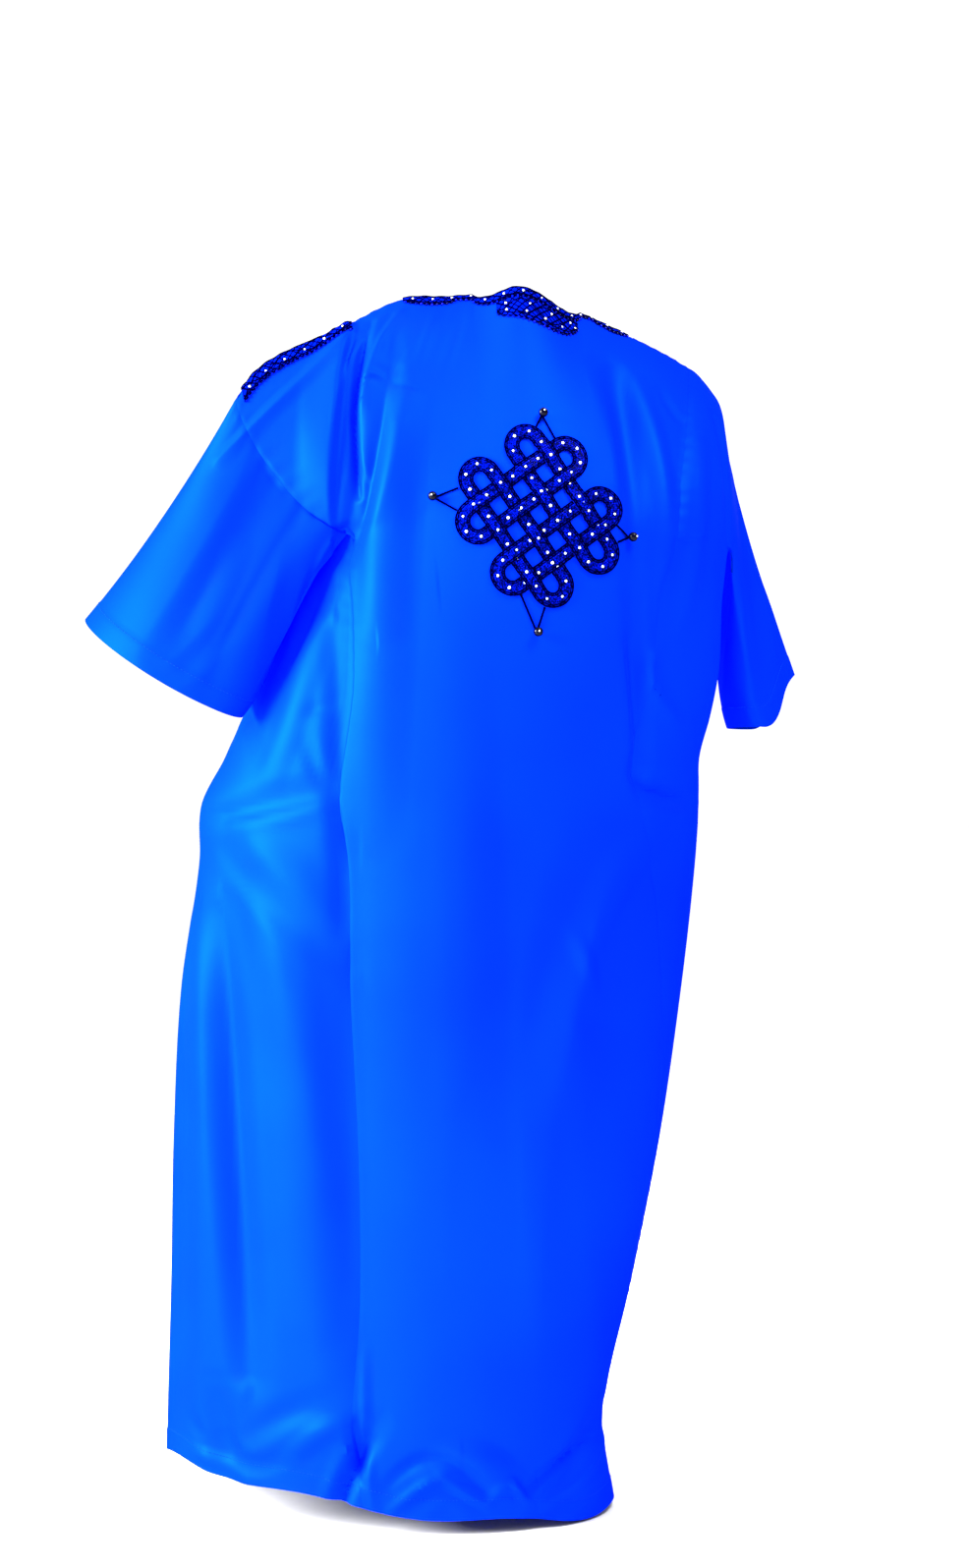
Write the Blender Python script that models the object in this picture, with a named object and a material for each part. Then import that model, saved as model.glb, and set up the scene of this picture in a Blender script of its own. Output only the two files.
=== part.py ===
"""Kaftan dress, worn and hollow: two centre panels, two side gores, two bell sleeves, lace and a knot applique.

The cloth is one skin of lofted sections, cut into its sewn pieces along the seams and given a 2 mm wall.
The tables are laid out as the dress is seen from behind, a little to the wearer's left: across runs to
the right, away runs from the back to the front, up is height above the neck point. garment_frame turns
them into the garment's own frame: +X to the wearer's left, +Y behind, +Z up, metres.
"""

import math

import bmesh
import bpy
import numpy as np
from mathutils import Vector
from mathutils.bvhtree import BVHTree

NAME = "kaftan_dress"
LAYOUT_TURN = math.radians(18)
WALL = 0.002
SEAM_INSET = 0.00018
SHARP_BEND = math.radians(40)
WELD_STEP = 0.00005

UNDERARM = -0.274
HEM = -1.400
# The hem is lifted on one side, most at this ring angle, from this height down, and it waves a little.
HEM_LIFT, LIFT_ANGLE, LIFT_FROM = 0.0545, 68, -1.1
HEM_WAVE, HEM_WAVES, WAVE_FROM = 0.004, 7, -1.3

LACE_GAP = 0.0006
LACE_THICK = 0.0016
# The knot's two strand directions, one pitch long, and how many pitches its lobes reach along each.
KNOT_ALONG = np.array([0.02585, 0.01927])
KNOT_CROSS = np.array([-0.01930, 0.02872])
KNOT_REACH = (1.93, 2.07)
KNOT_BAND = 0.0170
KNOT_PLACE = (0.0183, -0.2586)
KNOT_LOBE = 0.0263
KNOT_GAP = 0.0008
KNOT_THICK = 0.0018
KNOT_RISE = 0.0012
BEAD_RADIUS = 0.0055
BEAD_GAP = 0.0004
CORD_WIDTH = 0.0022
CORD_THICK = 0.0014


def table(text):
    """Columns by name from a table written out as text."""
    names, *rows = [line.split() for line in text.strip().splitlines()]
    return {name: [row[k] if row[k][0].isalpha() else float(row[k]) for row in rows]
            for k, name in enumerate(names)}


# Rings of the skirt and chest: centre, half width, half depth towards the back and the front, turn.
# A pinch over 1 draws the ring to a point at each side, where it is pulled outward.
RINGS = table("""
up      across   away   half    near    far    turn  pinch
-1.400  -0.1555  0.030  0.2660  0.172   0.190  -8    1.00
-1.317  -0.1610  0.030  0.2590  0.172   0.190  -8    1.00
-1.140  -0.1420  0.025  0.2725  0.180   0.192  -6    1.00
-0.966  -0.1227  0.015  0.2863  0.186   0.195  -3    1.00
-0.793  -0.1048  0.005  0.2926  0.190   0.195   1    1.02
-0.643  -0.0847  0.000  0.2905  0.190   0.195   5    1.06
-0.583  -0.0800  0.000  0.2930  0.188   0.195   7    1.10
-0.528  -0.0658  0.000  0.2793  0.184   0.195   9    1.05
-0.482  -0.0480  0.000  0.2740  0.178   0.195  10.5  1.00
-0.436  -0.0328  0.000  0.2693  0.172   0.195  12    1.00
-0.340  -0.0060  0.000  0.2490  0.158   0.190  14    1.00
-0.274   0.0156  0.000  0.2360  0.150   0.180  16    1.00
-0.160   0.0200  0.000  0.2250  0.140   0.160  18    1.00
""")

# Angle of each long seam round the rings: 0 at the back, growing towards the wearer's left.
SEAMS = table("""
up      back_left  front_left  front_right  back_right
-1.400    0          105         190          248
-1.140    5          111         198          264
-0.966   11          115         207          278
-0.793   19          120         218          295
-0.643   27.5        124         228          309
-0.560   34          126         232          317
-0.436   44          128         236          325
-0.340   59          125         236          326.5
-0.274   78          122         235          327
""")

# Stations along the top: the ring angle that each hangs over at the underarm, columns up to the next.
STATIONS = table("""
station      back_angle  front_angle  columns
cap_right     -76         258          3
seam_right    -33         235          5
neck_right     -3         205          8
neck_left      29         172          12
seam_left      78         122          0
""")

# The shoulder line from the right cap to the left armhole, passing over the neck as if it were closed.
SHOULDER = table("""
u     across   away    up
0.00   0.2393   0.140  -0.0874
0.50   0.2240   0.133  -0.0690
1.00   0.2047   0.122  -0.0540
1.50   0.1421   0.072  -0.0294
1.75   0.1058   0.048  -0.0167
2.00   0.0700   0.022  -0.0052
2.50   0.0060   0.002   0.0060
3.00  -0.0575  -0.015   0.0101
3.12  -0.0861  -0.022   0.0067
3.30  -0.1372  -0.035   0.0030
3.55  -0.2103  -0.055  -0.0352
3.90  -0.3090  -0.083  -0.0935
4.00  -0.3263  -0.090  -0.1192
""")
# The neck is cut from that form: this share of the middle column's height, and its rise at the nape.
NECK_CUT = {"back": 0.20, "front": 0.40}
NECK_RISE = {"back": 0.040, "front": 0.0}
NECK_LEAN, NECK_ROUND = 1.15, 1.5
OVER_SHOULDER = {"back": (0.0, 0.16, 0.05), "front": (0.0, -0.16, 0.05)}

# The cloth above the underarm leaves its ring by this much of a metre, as the ring's own slope leads it.
CHEST_RISE, SLOPE_STEP = 0.27, 0.02
# Directions of the cloth at the underarm and at the shoulder, where the sleeves pull it, and the
# stations between which each pull grows to its full share.
PULLS = {
    ("back", "left"): ((-0.16, -0.02, 0.02), (-0.01, 0.05, 0.12)),
    ("back", "right"): ((-0.02, -0.04, 0.22), (-0.05, 0.12, 0.10)),
    ("front", "left"): ((-0.14, 0.03, 0.04), (-0.02, -0.06, 0.10)),
    ("front", "right"): ((0.00, 0.08, 0.14), (-0.02, -0.10, 0.08)),
}

PULL_SPAN = {"left": (2.2, 4.0), "right": (1.5, 0.0)}
PULL_GROWTH = 2.5

# Cuff rings: centre, the vector to the top fold and the vector to the near side, then how each sleeve
# leaves the armhole along its top and its underside, and how it reaches the cuff. The slack draws the
# underside's far half off the body, the corner lifts the top fold and the point draws it out.
CUFFS = {
    "left": dict(centre=(-0.4105, -0.070, -0.4255), top=(-0.0910, 0.020, 0.0570), near=(-0.012, -0.075, -0.010),
                 leave=(-0.05, -0.02, -0.13), under=(-0.080, -0.045, -0.035), reach=(-0.16, 0.01, -0.19),
                 slack=(-0.045, 0.0, 0.0), corner=0.0, point=0.0),
    "right": dict(centre=(0.287, 0.125, -0.492), top=(0.035, 0.010, 0.0), near=(0.0, -0.090, 0.0),
                  leave=(0.0, 0.10, -0.10), under=(0.06, 0.05, -0.02), reach=(0.08, 0.00, -0.23),
                  slack=(0.0, 0.0, 0.0), corner=0.065, point=0.013),
}

# Share of the way to the cuff that steers a sleeve's start, how pointed its cuff ring is at the folds,
# how narrow the right cuff's lifted corner and its drawn-out point are, and the part of a sleeve's turn
# that lies under the arm.
SLEEVE_STEER = 0.55
CUFF_PINCH = 1.1
CORNER_NARROW, POINT_NARROW = 3, 16
UNDER_TURN = (165, 195)

ROWS_ABOVE = 12
ROWS_BELOW = 18
ROWS_SLEEVE = 9
GORE_LEFT_COLUMNS = 7
GORE_RIGHT_COLUMNS = 4

# Folds and pulls: a curve through three places, how far each side it reaches, and its height.
FOLDS = table("""
fold             piece         x1      z1      x2      z2      x3      z3     left   right  height
shoulder_ridge   back_panel   -0.150  -0.104  -0.160  -0.229  -0.180  -0.600  0.044  0.055   0.009
shoulder_valley  back_panel   -0.205  -0.065  -0.205  -0.150  -0.200  -0.240  0.045  0.042  -0.008
right_valley     back_panel    0.098  -0.073   0.128  -0.157   0.150  -0.300  0.030  0.026  -0.008
side_band        sleeve_right  0.204  -0.120   0.190  -0.270   0.154  -0.480  0.026  0.030   0.006
side_pull        gore_right    0.139  -0.560   0.172  -0.571   0.202  -0.579  0.020  0.030  -0.007
long_fold        back_panel    0.195  -0.601   0.048  -0.739   0.065  -1.269  0.045  0.030  -0.012
long_ridge       back_panel    0.190  -0.680   0.105  -0.850   0.110  -1.300  0.035  0.035   0.007
hand_crease      gore_left    -0.354  -0.598  -0.282  -0.576  -0.211  -0.562  0.022  0.016  -0.008
hand_bulge       gore_left    -0.340  -0.628  -0.270  -0.662  -0.226  -0.750  0.036  0.040   0.012
hand_trough      gore_left    -0.352  -0.650  -0.290  -0.800  -0.235  -1.100  0.034  0.034  -0.011
under_sleeve     gore_left    -0.219  -0.316  -0.258  -0.383  -0.309  -0.467  0.030  0.030  -0.009
gore_far_swell   gore_left    -0.248  -0.375  -0.275  -0.430  -0.325  -0.510  0.040  0.040   0.018
back_ridge       back_panel   -0.144  -0.300  -0.149  -0.759  -0.133  -1.328  0.040  0.050   0.007
back_valley      back_panel    0.014  -0.453  -0.013  -0.781   0.009  -1.263  0.060  0.060  -0.007
back_swell       back_panel   -0.068  -0.387  -0.077  -0.781  -0.068  -1.263  0.045  0.060   0.005
gore_ridge       gore_left    -0.367  -0.742  -0.355  -1.068  -0.372  -1.282  0.040  0.035   0.008
gore_valley      gore_left    -0.309  -0.786  -0.301  -1.065  -0.292  -1.256  0.035  0.040  -0.008
hem_dip          gore_left    -0.349  -1.250  -0.343  -1.315  -0.333  -1.380  0.026  0.026  -0.014
hem_arc          gore_left    -0.320  -1.320  -0.247  -1.256  -0.182  -1.291  0.026  0.034   0.012
hem_tuck         back_panel   -0.212  -1.395  -0.199  -1.332  -0.170  -1.280  0.026  0.030  -0.012
hem_peak         back_panel   -0.101  -1.333  -0.057  -1.322  -0.018  -1.353  0.030  0.030   0.007
hem_crease       back_panel    0.016  -1.400   0.050  -1.350   0.091  -1.290  0.024  0.024  -0.009
front_left_fold  front_panel  -0.120  -0.260  -0.150  -0.700  -0.180  -1.390  0.045  0.045   0.011
front_mid_fold   front_panel  -0.030  -0.240  -0.040  -0.700  -0.110  -1.390  0.040  0.050  -0.010
front_right_fold front_panel   0.070  -0.250   0.060  -0.650  -0.020  -1.390  0.045  0.040   0.011
front_side_fold  front_panel   0.150  -0.300   0.130  -0.650   0.040  -1.390  0.035  0.035  -0.010
front_bust_left  front_panel  -0.230  -0.200  -0.150  -0.260  -0.060  -0.270  0.030  0.035  -0.008
front_bust_right front_panel   0.190  -0.190   0.130  -0.250   0.060  -0.270  0.030  0.030  -0.007
gore_front_pull  gore_left    -0.350  -0.610  -0.290  -0.700  -0.240  -0.900  0.030  0.035  -0.010
gore_right_fold  gore_right    0.195  -0.620   0.150  -0.900   0.070  -1.390  0.035  0.035   0.009
sleeve_fold_left sleeve_left  -0.260  -0.160  -0.330  -0.300  -0.400  -0.420  0.035  0.040  -0.008
sleeve_drag_left sleeve_left  -0.220  -0.250  -0.280  -0.350  -0.330  -0.470  0.030  0.035   0.008
sleeve_fold_right sleeve_right 0.275  -0.200   0.285  -0.330   0.290  -0.490  0.024  0.024  -0.006
""")

# Folds on the front of the garment: on the front panel and on the gores' front halves.
FAR_FOLDS = ("front_", "gore_front", "gore_far", "gore_right_fold")
# Each fold is laid along this many places, fades to this power of a sine at its ends, and shows on the
# side of the cloth that faces its way.
FOLD_PLACES = 25
FOLD_FADE, FADE_SHARE = 0.6, 0.9
FACING_SLOPE, FACING_FROM = 2.5, 0.4

# A wall goes no further inward at a bend than where its normal leans this much from its faces.
LEAST_LEAN = 0.6

LACE = table("""
lace                 side   from   to     top     bottom  swell
neck_medallion       back   2.05   2.84   0.0150  0.0310  0.0180
shoulder_lace_right  front  1.15   1.55   0.0040  0.0230  0.0
""")

# Stations between which the neck lace runs past the neck on both sides, its widths, the medallions that
# widen it, and the strip along the left shoulder with its widths on the back and the front.
NECK_LACE_ENDS = (1.60, 1.96, 3.03, 3.30)
NECK_LACE_WIDTH, NECK_LACE_NARROW = 0.0135, 0.006
NECK_MEDALLIONS, MEDALLION_SWELL = ((1.60, 1.90), (3.08, 3.30)), 0.010
SHOULDER_LACE_ENDS, SHOULDER_LACE_WIDTH = (3.50, 3.96), {"back": 0.0175, "front": 0.0080}
MEDALLION_ROUND, NECK_MEDALLION_ROUND = 0.55, 0.7

BEADS = table("""
bead          across   up       first_lobe  second_lobe
bead_top      0.0039   0.1159   2           1
bead_left    -0.1178   0.0196   3           4
bead_bottom  -0.0027  -0.1324   6           5
bead_right    0.1016  -0.0221   0           7
""")


def garment_frame(points):
    """Layout places (across, away, up) in the garment's frame."""
    c, s = math.cos(LAYOUT_TURN), math.sin(LAYOUT_TURN)
    across, away, up = np.moveaxis(np.asarray(points, float), -1, 0)
    return np.stack([-c * across - s * away, s * across - c * away, up], -1)


def eased(at, knots, values):
    """A smooth curve through a table's column, with no overshoot past its ends."""
    knots, values = np.asarray(knots), np.asarray(values)
    at = np.clip(at, knots[0], knots[-1])
    i = np.clip(np.searchsorted(knots, at, side="right") - 1, 0, len(knots) - 2)
    slope = np.gradient(values, knots)
    gap = knots[i + 1] - knots[i]
    return hermite((at - knots[i]) / gap, values[i], gap * slope[i], values[i + 1], gap * slope[i + 1])


def hermite(f, start, leave, end, arrive):
    """Cubic from start to end with the given directions at both."""
    return ((1 + 2 * f) * (1 - f) ** 2 * start + f * (1 - f) ** 2 * leave
            + f * f * (3 - 2 * f) * end - f * f * (1 - f) * arrive)


def ring(angle, up):
    """Point of the body's ring at this angle and height."""
    angle, up = np.broadcast_arrays(np.asarray(angle, float), np.asarray(up, float))
    size = {name: eased(up, RINGS["up"], RINGS[name]) for name in RINGS if name != "up"}
    s, c = np.sin(np.radians(angle)), np.cos(np.radians(angle))
    x = -size["half"] * np.sign(s) * np.abs(s) ** size["pinch"]
    y = -np.where(c > 0, size["near"], size["far"]) * np.sign(c) * np.abs(c) ** size["pinch"]
    turn = np.radians(size["turn"])
    lifted = ((1 + np.cos(np.radians(angle - LIFT_ANGLE))) / 2) ** 2
    lift = HEM_LIFT * lifted * np.clip((up - LIFT_FROM) / (HEM - LIFT_FROM), 0, 1) ** 2
    wave = HEM_WAVE * np.sin(np.radians(angle) * HEM_WAVES) * np.clip((up - WAVE_FROM) / (HEM - WAVE_FROM), 0, 1)
    return np.stack([size["across"] + x * np.cos(turn) - y * np.sin(turn),
                     size["away"] + x * np.sin(turn) + y * np.cos(turn), up + lift + wave], -1)


def shoulder_line(u, side):
    """Places along the shoulder line; u counts the stations from the right cap."""
    line = np.stack([eased(u, SHOULDER["u"], SHOULDER[axis]) for axis in ("across", "away", "up")], -1)
    line[..., 2] += NECK_RISE[side] * np.sin(math.pi * np.clip(u - 2, 0, 1) ** NECK_LEAN) ** NECK_ROUND
    return line


def hang_angle(u, side):
    """Ring angle under each place of the shoulder line."""
    return eased(u, np.arange(5), STATIONS[side + "_angle"])


def above_underarm(u, f, side):
    """Chest and shoulders: each column is a cubic from the underarm ring up over the shoulder line."""
    u, f = np.broadcast_arrays(np.asarray(u, float), np.asarray(f, float))
    across_neck = np.clip(u - 2, 0, 1)
    f = f - f * f * NECK_CUT[side] * (4 * across_neck * (1 - across_neck)) ** 0.5
    angle = hang_angle(u, side)
    start = ring(angle, UNDERARM)
    slope = (ring(angle, UNDERARM + SLOPE_STEP) - ring(angle, UNDERARM - SLOPE_STEP)) / (2 * SLOPE_STEP)
    leave = slope * CHEST_RISE
    arrive = np.broadcast_to(np.array(OVER_SHOULDER[side]), start.shape)
    for hand, (first, full) in PULL_SPAN.items():
        weight = (np.clip((u - first) / (full - first), 0, 1) ** PULL_GROWTH)[..., None]
        leave = leave * (1 - weight) + np.array(PULLS[side, hand][0]) * weight
        arrive = arrive * (1 - weight) + np.array(PULLS[side, hand][1]) * weight
    return hermite(f[..., None], start, leave, shoulder_line(u, side), arrive)


def below_underarm(angle_at_top, f, edges):
    """Skirt panel between two seams; each column keeps its share of the width down to the hem."""
    up = HEM + (UNDERARM - HEM) * np.asarray(f, float)
    top = np.asarray(angle_at_top, float)
    first, last = [eased(up, SEAMS["up"], SEAMS[name]) for name in edges]
    first = first + 360 * np.round((top[0] - first[-1]) / 360)
    last = last + 360 * np.round((top[-1] - last[-1]) / 360)
    share = (top - top[0]) / (top[-1] - top[0])
    angle = first[:, None] + (last - first)[:, None] * share[None, :]
    return ring(angle, up[:, None])


def columns_between(first, last):
    """Column places from one station to another, as many as the table says and closer at the neck's sides."""
    places = []
    for k in range(first, last):
        share = np.arange(int(STATIONS["columns"][k])) / STATIONS["columns"][k]
        places.append(k + ((1 - np.cos(math.pi * share)) / 2 if k == 2 else share))
    return np.concatenate(places + [[last]])


def sleeve_tube(side, loop, turn):
    """Sleeve from its armhole loop to the cuff ring; turn is each point's angle round the sleeve."""
    cuff = {name: np.array(value) for name, value in CUFFS[side].items()}
    angle = np.radians(turn)[:, None]
    s, c = np.sin(angle), np.cos(angle)
    end = cuff["centre"] + cuff["top"] * c + cuff["near"] * np.sign(s) * np.abs(s) ** CUFF_PINCH
    end[:, 2] += cuff["corner"] * np.clip(c[:, 0], 0, 1) ** CORNER_NARROW
    end[:, 0] += cuff["point"] * np.clip(c[:, 0], 0, 1) ** POINT_NARROW
    f = np.linspace(0, 1, ROWS_SLEEVE + 1)[:, None, None]
    leave = cuff["leave"] * (1 + c) / 2 + cuff["under"] * (1 - c) / 2
    leave = leave + cuff["slack"] * (1 - c) * np.clip(0.5 - 2 * s, 0, 1)
    return hermite(f, loop, (end - loop) * SLEEVE_STEER + leave, end, cuff["reach"] + 0 * loop)


def skin():
    """Every grid of the garment's outer skin, as (piece, points, outward is rows across columns)."""
    full = columns_between(0, 4)
    panel, band = columns_between(1, 4), columns_between(0, 1)
    above = np.linspace(0, 1, ROWS_ABOVE + 1)
    below = np.linspace(0, 1, ROWS_BELOW + 1)
    back = above_underarm(full[None, :], above[:, None], "back")
    front = above_underarm(full[None, :], above[:, None], "front")
    n = len(band) - 1
    (right_back, *_, left_back), (right_front, *_, left_front) = STATIONS["back_angle"], STATIONS["front_angle"]
    side_right = np.concatenate([hang_angle(band, "front")[::-1][:-1],
                                 np.linspace(right_front, right_back + 360, GORE_RIGHT_COLUMNS + 1)[:-1],
                                 hang_angle(band, "back") + 360])
    side_left = np.linspace(left_back, left_front, GORE_LEFT_COLUMNS + 1)
    gore_left = below_underarm(side_left, below, ("back_left", "front_left"))
    gore_right = below_underarm(side_right, below, ("front_right", "back_right"))
    under = gore_right[-1, n:n + GORE_RIGHT_COLUMNS + 1]
    loops = {
        "left": np.concatenate([back[::-1, -1][:-1], gore_left[-1, :-1], front[:-1, -1]]),
        "right": np.concatenate([back[::-1, 0][:-1], under[::-1][:-1], front[:-1, 0]]),
    }
    grids = [
        ("back_panel", back[:, n:], True), ("front_panel", front[:, n:], False),
        ("sleeve_right", back[:, :n + 1], True), ("sleeve_right", front[:, :n + 1], False),
        ("back_panel", below_underarm(hang_angle(panel, "back"), below, ("back_right", "back_left")), True),
        ("front_panel", below_underarm(hang_angle(panel, "front"), below, ("front_right", "front_left")), False),
        ("gore_left", gore_left, True), ("gore_right", gore_right, True),
    ]
    for side, count in (("left", GORE_LEFT_COLUMNS), ("right", GORE_RIGHT_COLUMNS)):
        loop = loops[side]
        turn = np.concatenate([np.linspace(0, UNDER_TURN[0], ROWS_ABOVE + 1)[:-1],
                               np.linspace(*UNDER_TURN, count + 1)[:-1],
                               np.linspace(UNDER_TURN[1], 360, ROWS_ABOVE + 1)])
        loop = np.concatenate([loop, loop[:1]])
        grids.append(("sleeve_" + side, sleeve_tube(side, loop, turn), side == "left"))
    return grids


def grid_triangles(rows, columns, flip):
    """Two triangles for each cell of a grid."""
    index = np.arange(rows * columns).reshape(rows, columns)
    a, b, c, d = index[:-1, :-1], index[:-1, 1:], index[1:, 1:], index[1:, :-1]
    cells = np.concatenate([np.stack([a, b, c], -1).reshape(-1, 3), np.stack([a, c, d], -1).reshape(-1, 3)])
    return cells[:, ::-1] if flip else cells


def face_normals(points, triangles):
    """Unit normal of each triangle."""
    a, b, c = (points[triangles[:, k]] for k in range(3))
    faces = np.cross(b - a, c - a)
    return faces / np.maximum(np.linalg.norm(faces, axis=1, keepdims=True), 1e-12)


def corner_normals(points, triangles):
    """Unit normals at shared corners, each face weighing by its angle there."""
    faces = face_normals(points, triangles)
    normals = np.zeros_like(points)
    for k in range(3):
        corner, ahead, behind = (points[triangles[:, (k + n) % 3]] for n in range(3))
        one, other = ahead - corner, behind - corner
        spread = np.arctan2(np.linalg.norm(np.cross(one, other), axis=1), (one * other).sum(1))
        np.add.at(normals, triangles[:, k], faces * spread[:, None])
    return normals / np.maximum(np.linalg.norm(normals, axis=1, keepdims=True), 1e-12)


def weld(points):
    """Each point's number once those at the same place are one, and the first of each."""
    _, first, index = np.unique(np.round(points / WELD_STEP).astype(np.int64), axis=0,
                                return_index=True, return_inverse=True)
    return index.reshape(-1), first


def fold_heights(points, normals, piece):
    """Height of all the piece's folds at each point: soft, as wide each side as the table says."""
    total, last = np.zeros(len(points)), FOLD_PLACES - 1
    for k, name in enumerate(FOLDS["fold"]):
        if FOLDS["piece"][k] != piece:
            continue
        ends = [np.array([FOLDS["x" + n][k], FOLDS["z" + n][k]]) for n in "123"]
        t = np.linspace(0, 1, FOLD_PLACES)[:, None]
        middle = 2 * ends[1] - (ends[0] + ends[2]) / 2
        path = (1 - t) ** 2 * ends[0] + 2 * t * (1 - t) * middle + t * t * ends[2]
        apart = points[:, None, [0, 2]] - path[None]
        near = np.argmin((apart ** 2).sum(-1), axis=1)
        apart = apart[np.arange(len(points)), near]
        along = np.gradient(path, axis=0)[near]
        step = np.linalg.norm(along, axis=1)
        along /= step[:, None]
        right_of = along[:, 1] * apart[:, 0] - along[:, 0] * apart[:, 1]
        beyond = (along * apart).sum(1)
        past_end = np.where(near == 0, np.maximum(-beyond, 0), np.where(near == last, np.maximum(beyond, 0), 0))
        downward = np.where(path[-1, 1] < path[0, 1], -1.0, 1.0)
        reach = np.where(right_of * downward > 0, FOLDS["right"][k], FOLDS["left"][k])
        distance = np.hypot(right_of, past_end) / reach
        share = np.clip((near + beyond / step) / last, 0, 1)
        fade = np.sin(math.pi * (share * FADE_SHARE + (1 - FADE_SHARE) / 2)) ** FOLD_FADE
        slope = FACING_SLOPE if name.startswith(FAR_FOLDS) else -FACING_SLOPE
        facing = np.clip(normals[:, 1] * slope + FACING_FROM, 0, 1)
        total += FOLDS["height"][k] * np.clip(1 - distance ** 2, 0, 1) ** 2 * fade * facing
    return total


def folded_skin():
    """Welded points and normals of the whole skin with its folds, the pieces' faces, and each grid's numbers."""
    grids = skin()
    flat = np.concatenate([points.reshape(-1, 3) for _, points, _ in grids])
    index, first = weld(flat)
    points = flat[first]
    faces, numbers, start = {}, [], 0
    for piece, grid, flip in grids:
        rows, columns = grid.shape[:2]
        number = index[start:start + rows * columns]
        start += rows * columns
        triangles = number[grid_triangles(rows, columns, flip)]
        whole = ((triangles[:, 0] != triangles[:, 1]) & (triangles[:, 1] != triangles[:, 2])
                 & (triangles[:, 0] != triangles[:, 2]))
        faces[piece] = np.concatenate([faces.get(piece, np.zeros((0, 3), int)), triangles[whole]])
        numbers.append((piece, number.reshape(rows, columns)))
    every = np.concatenate(list(faces.values()))
    normals = corner_normals(points, every)
    height, share = np.zeros(len(points)), np.zeros(len(points))
    for piece, triangles in faces.items():
        used = np.unique(triangles)
        height[used] += fold_heights(points[used], normals[used], piece)
        share[used] += 1
    points = points + normals * (height / np.maximum(share, 1))[:, None]
    return points, corner_normals(points, every), faces, numbers


def mitres(points, normals, triangles):
    """How much further each corner goes inward, so that the wall stays as thick beside a sharp bend."""
    faces = face_normals(points, triangles)
    lean = np.ones(len(points))
    for k in range(3):
        np.minimum.at(lean, triangles[:, k], (normals[triangles[:, k]] * faces).sum(1))
    return 1 / np.clip(lean, LEAST_LEAN, 1)


def walled(points, normals, triangles, low, high, mitre, inset=0.0):
    """Closed solid between two levels along the normals, drawn in from its open edges by the inset."""
    used, local = np.unique(triangles, return_inverse=True)
    local = local.reshape(-1, 3)
    place, normal = points[used].copy(), normals[used]
    sides = np.concatenate([local[:, [0, 1]], local[:, [1, 2]], local[:, [2, 0]]])
    key = np.sort(sides, axis=1)
    _, which, count = np.unique(key, axis=0, return_inverse=True, return_counts=True)
    rim = sides[count[which.reshape(-1)] == 1]
    if inset:
        inward = np.zeros_like(place)
        for a, b in ((0, 1), (1, 0)):
            edge = place[rim[:, 1]] - place[rim[:, 0]]
            edge /= np.linalg.norm(edge, axis=1, keepdims=True)
            np.add.at(inward, rim[:, a], np.cross(normal[rim[:, a]], edge))
        place += inset * 2 * inward / np.maximum((inward ** 2).sum(1, keepdims=True), 0.25)
    lower, upper = place + normal * low * mitre[used, None], place + normal * high
    n = len(place)
    a, b = rim[:, 0], rim[:, 1]
    # Both pieces at a seam split its edge along the same diagonal, so that they can't cross there.
    end, start = np.where(a < b, b + n, a + n), np.where(a < b, a, b)
    band = np.concatenate([np.stack([b, a, end], -1), np.stack([start, a + n, b + n], -1)])
    return np.concatenate([upper, lower]), np.concatenate([local, local[:, ::-1] + n, band])


def cloth_material(name, colour, roughness):
    """Plain material of one slot."""
    material = bpy.data.materials.new(name)
    material.use_nodes = True
    shader = material.node_tree.nodes["Principled BSDF"]
    shader.inputs["Base Color"].default_value = (*colour, 1)
    shader.inputs["Roughness"].default_value = roughness
    return material


def add_object(name, places, faces, material, collection, helper=False):
    """Mesh object from layout places, turned into the garment's frame."""
    mesh = bpy.data.meshes.new(name)
    mesh.from_pydata(garment_frame(places).tolist(), [], faces.tolist())
    mesh.materials.append(material)
    mesh.shade_smooth()
    mesh.set_sharp_from_angle(angle=SHARP_BEND)
    thing = bpy.data.objects.new(name, mesh)
    collection.objects.link(thing)
    if helper:
        thing.hide_render = True
        thing.display_type = "WIRE"
    return thing


def on_grid(points, normals, number, column, row):
    """Place and normal on the grid's own triangles, at fractional column and row."""
    rows, columns = number.shape
    i = np.clip(np.floor(row).astype(int), 0, rows - 2)
    j = np.clip(np.floor(column).astype(int), 0, columns - 2)
    v, u = row - i, column - j
    a, b, c, d = number[i, j], number[i, j + 1], number[i + 1, j + 1], number[i + 1, j]
    lower = u >= v
    weights = [1 - np.maximum(u, v), np.where(lower, u - v, 0), np.minimum(u, v), np.where(lower, 0, v - u)]
    blend = [sum(w[..., None] * values[corner] for w, corner in zip(weights, (a, b, c, d)))
             for values in (points, normals)]
    return blend[0], blend[1] / np.linalg.norm(blend[1], axis=-1, keepdims=True)


def upper_panel(numbers, side):
    """Number grid of the whole upper back or front, from the right cap to the left armhole."""
    panel, band = [numbers[k][1] for k in ((0, 2) if side == "back" else (1, 3))]
    return np.concatenate([band, panel[:, 1:]], axis=1)


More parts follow.
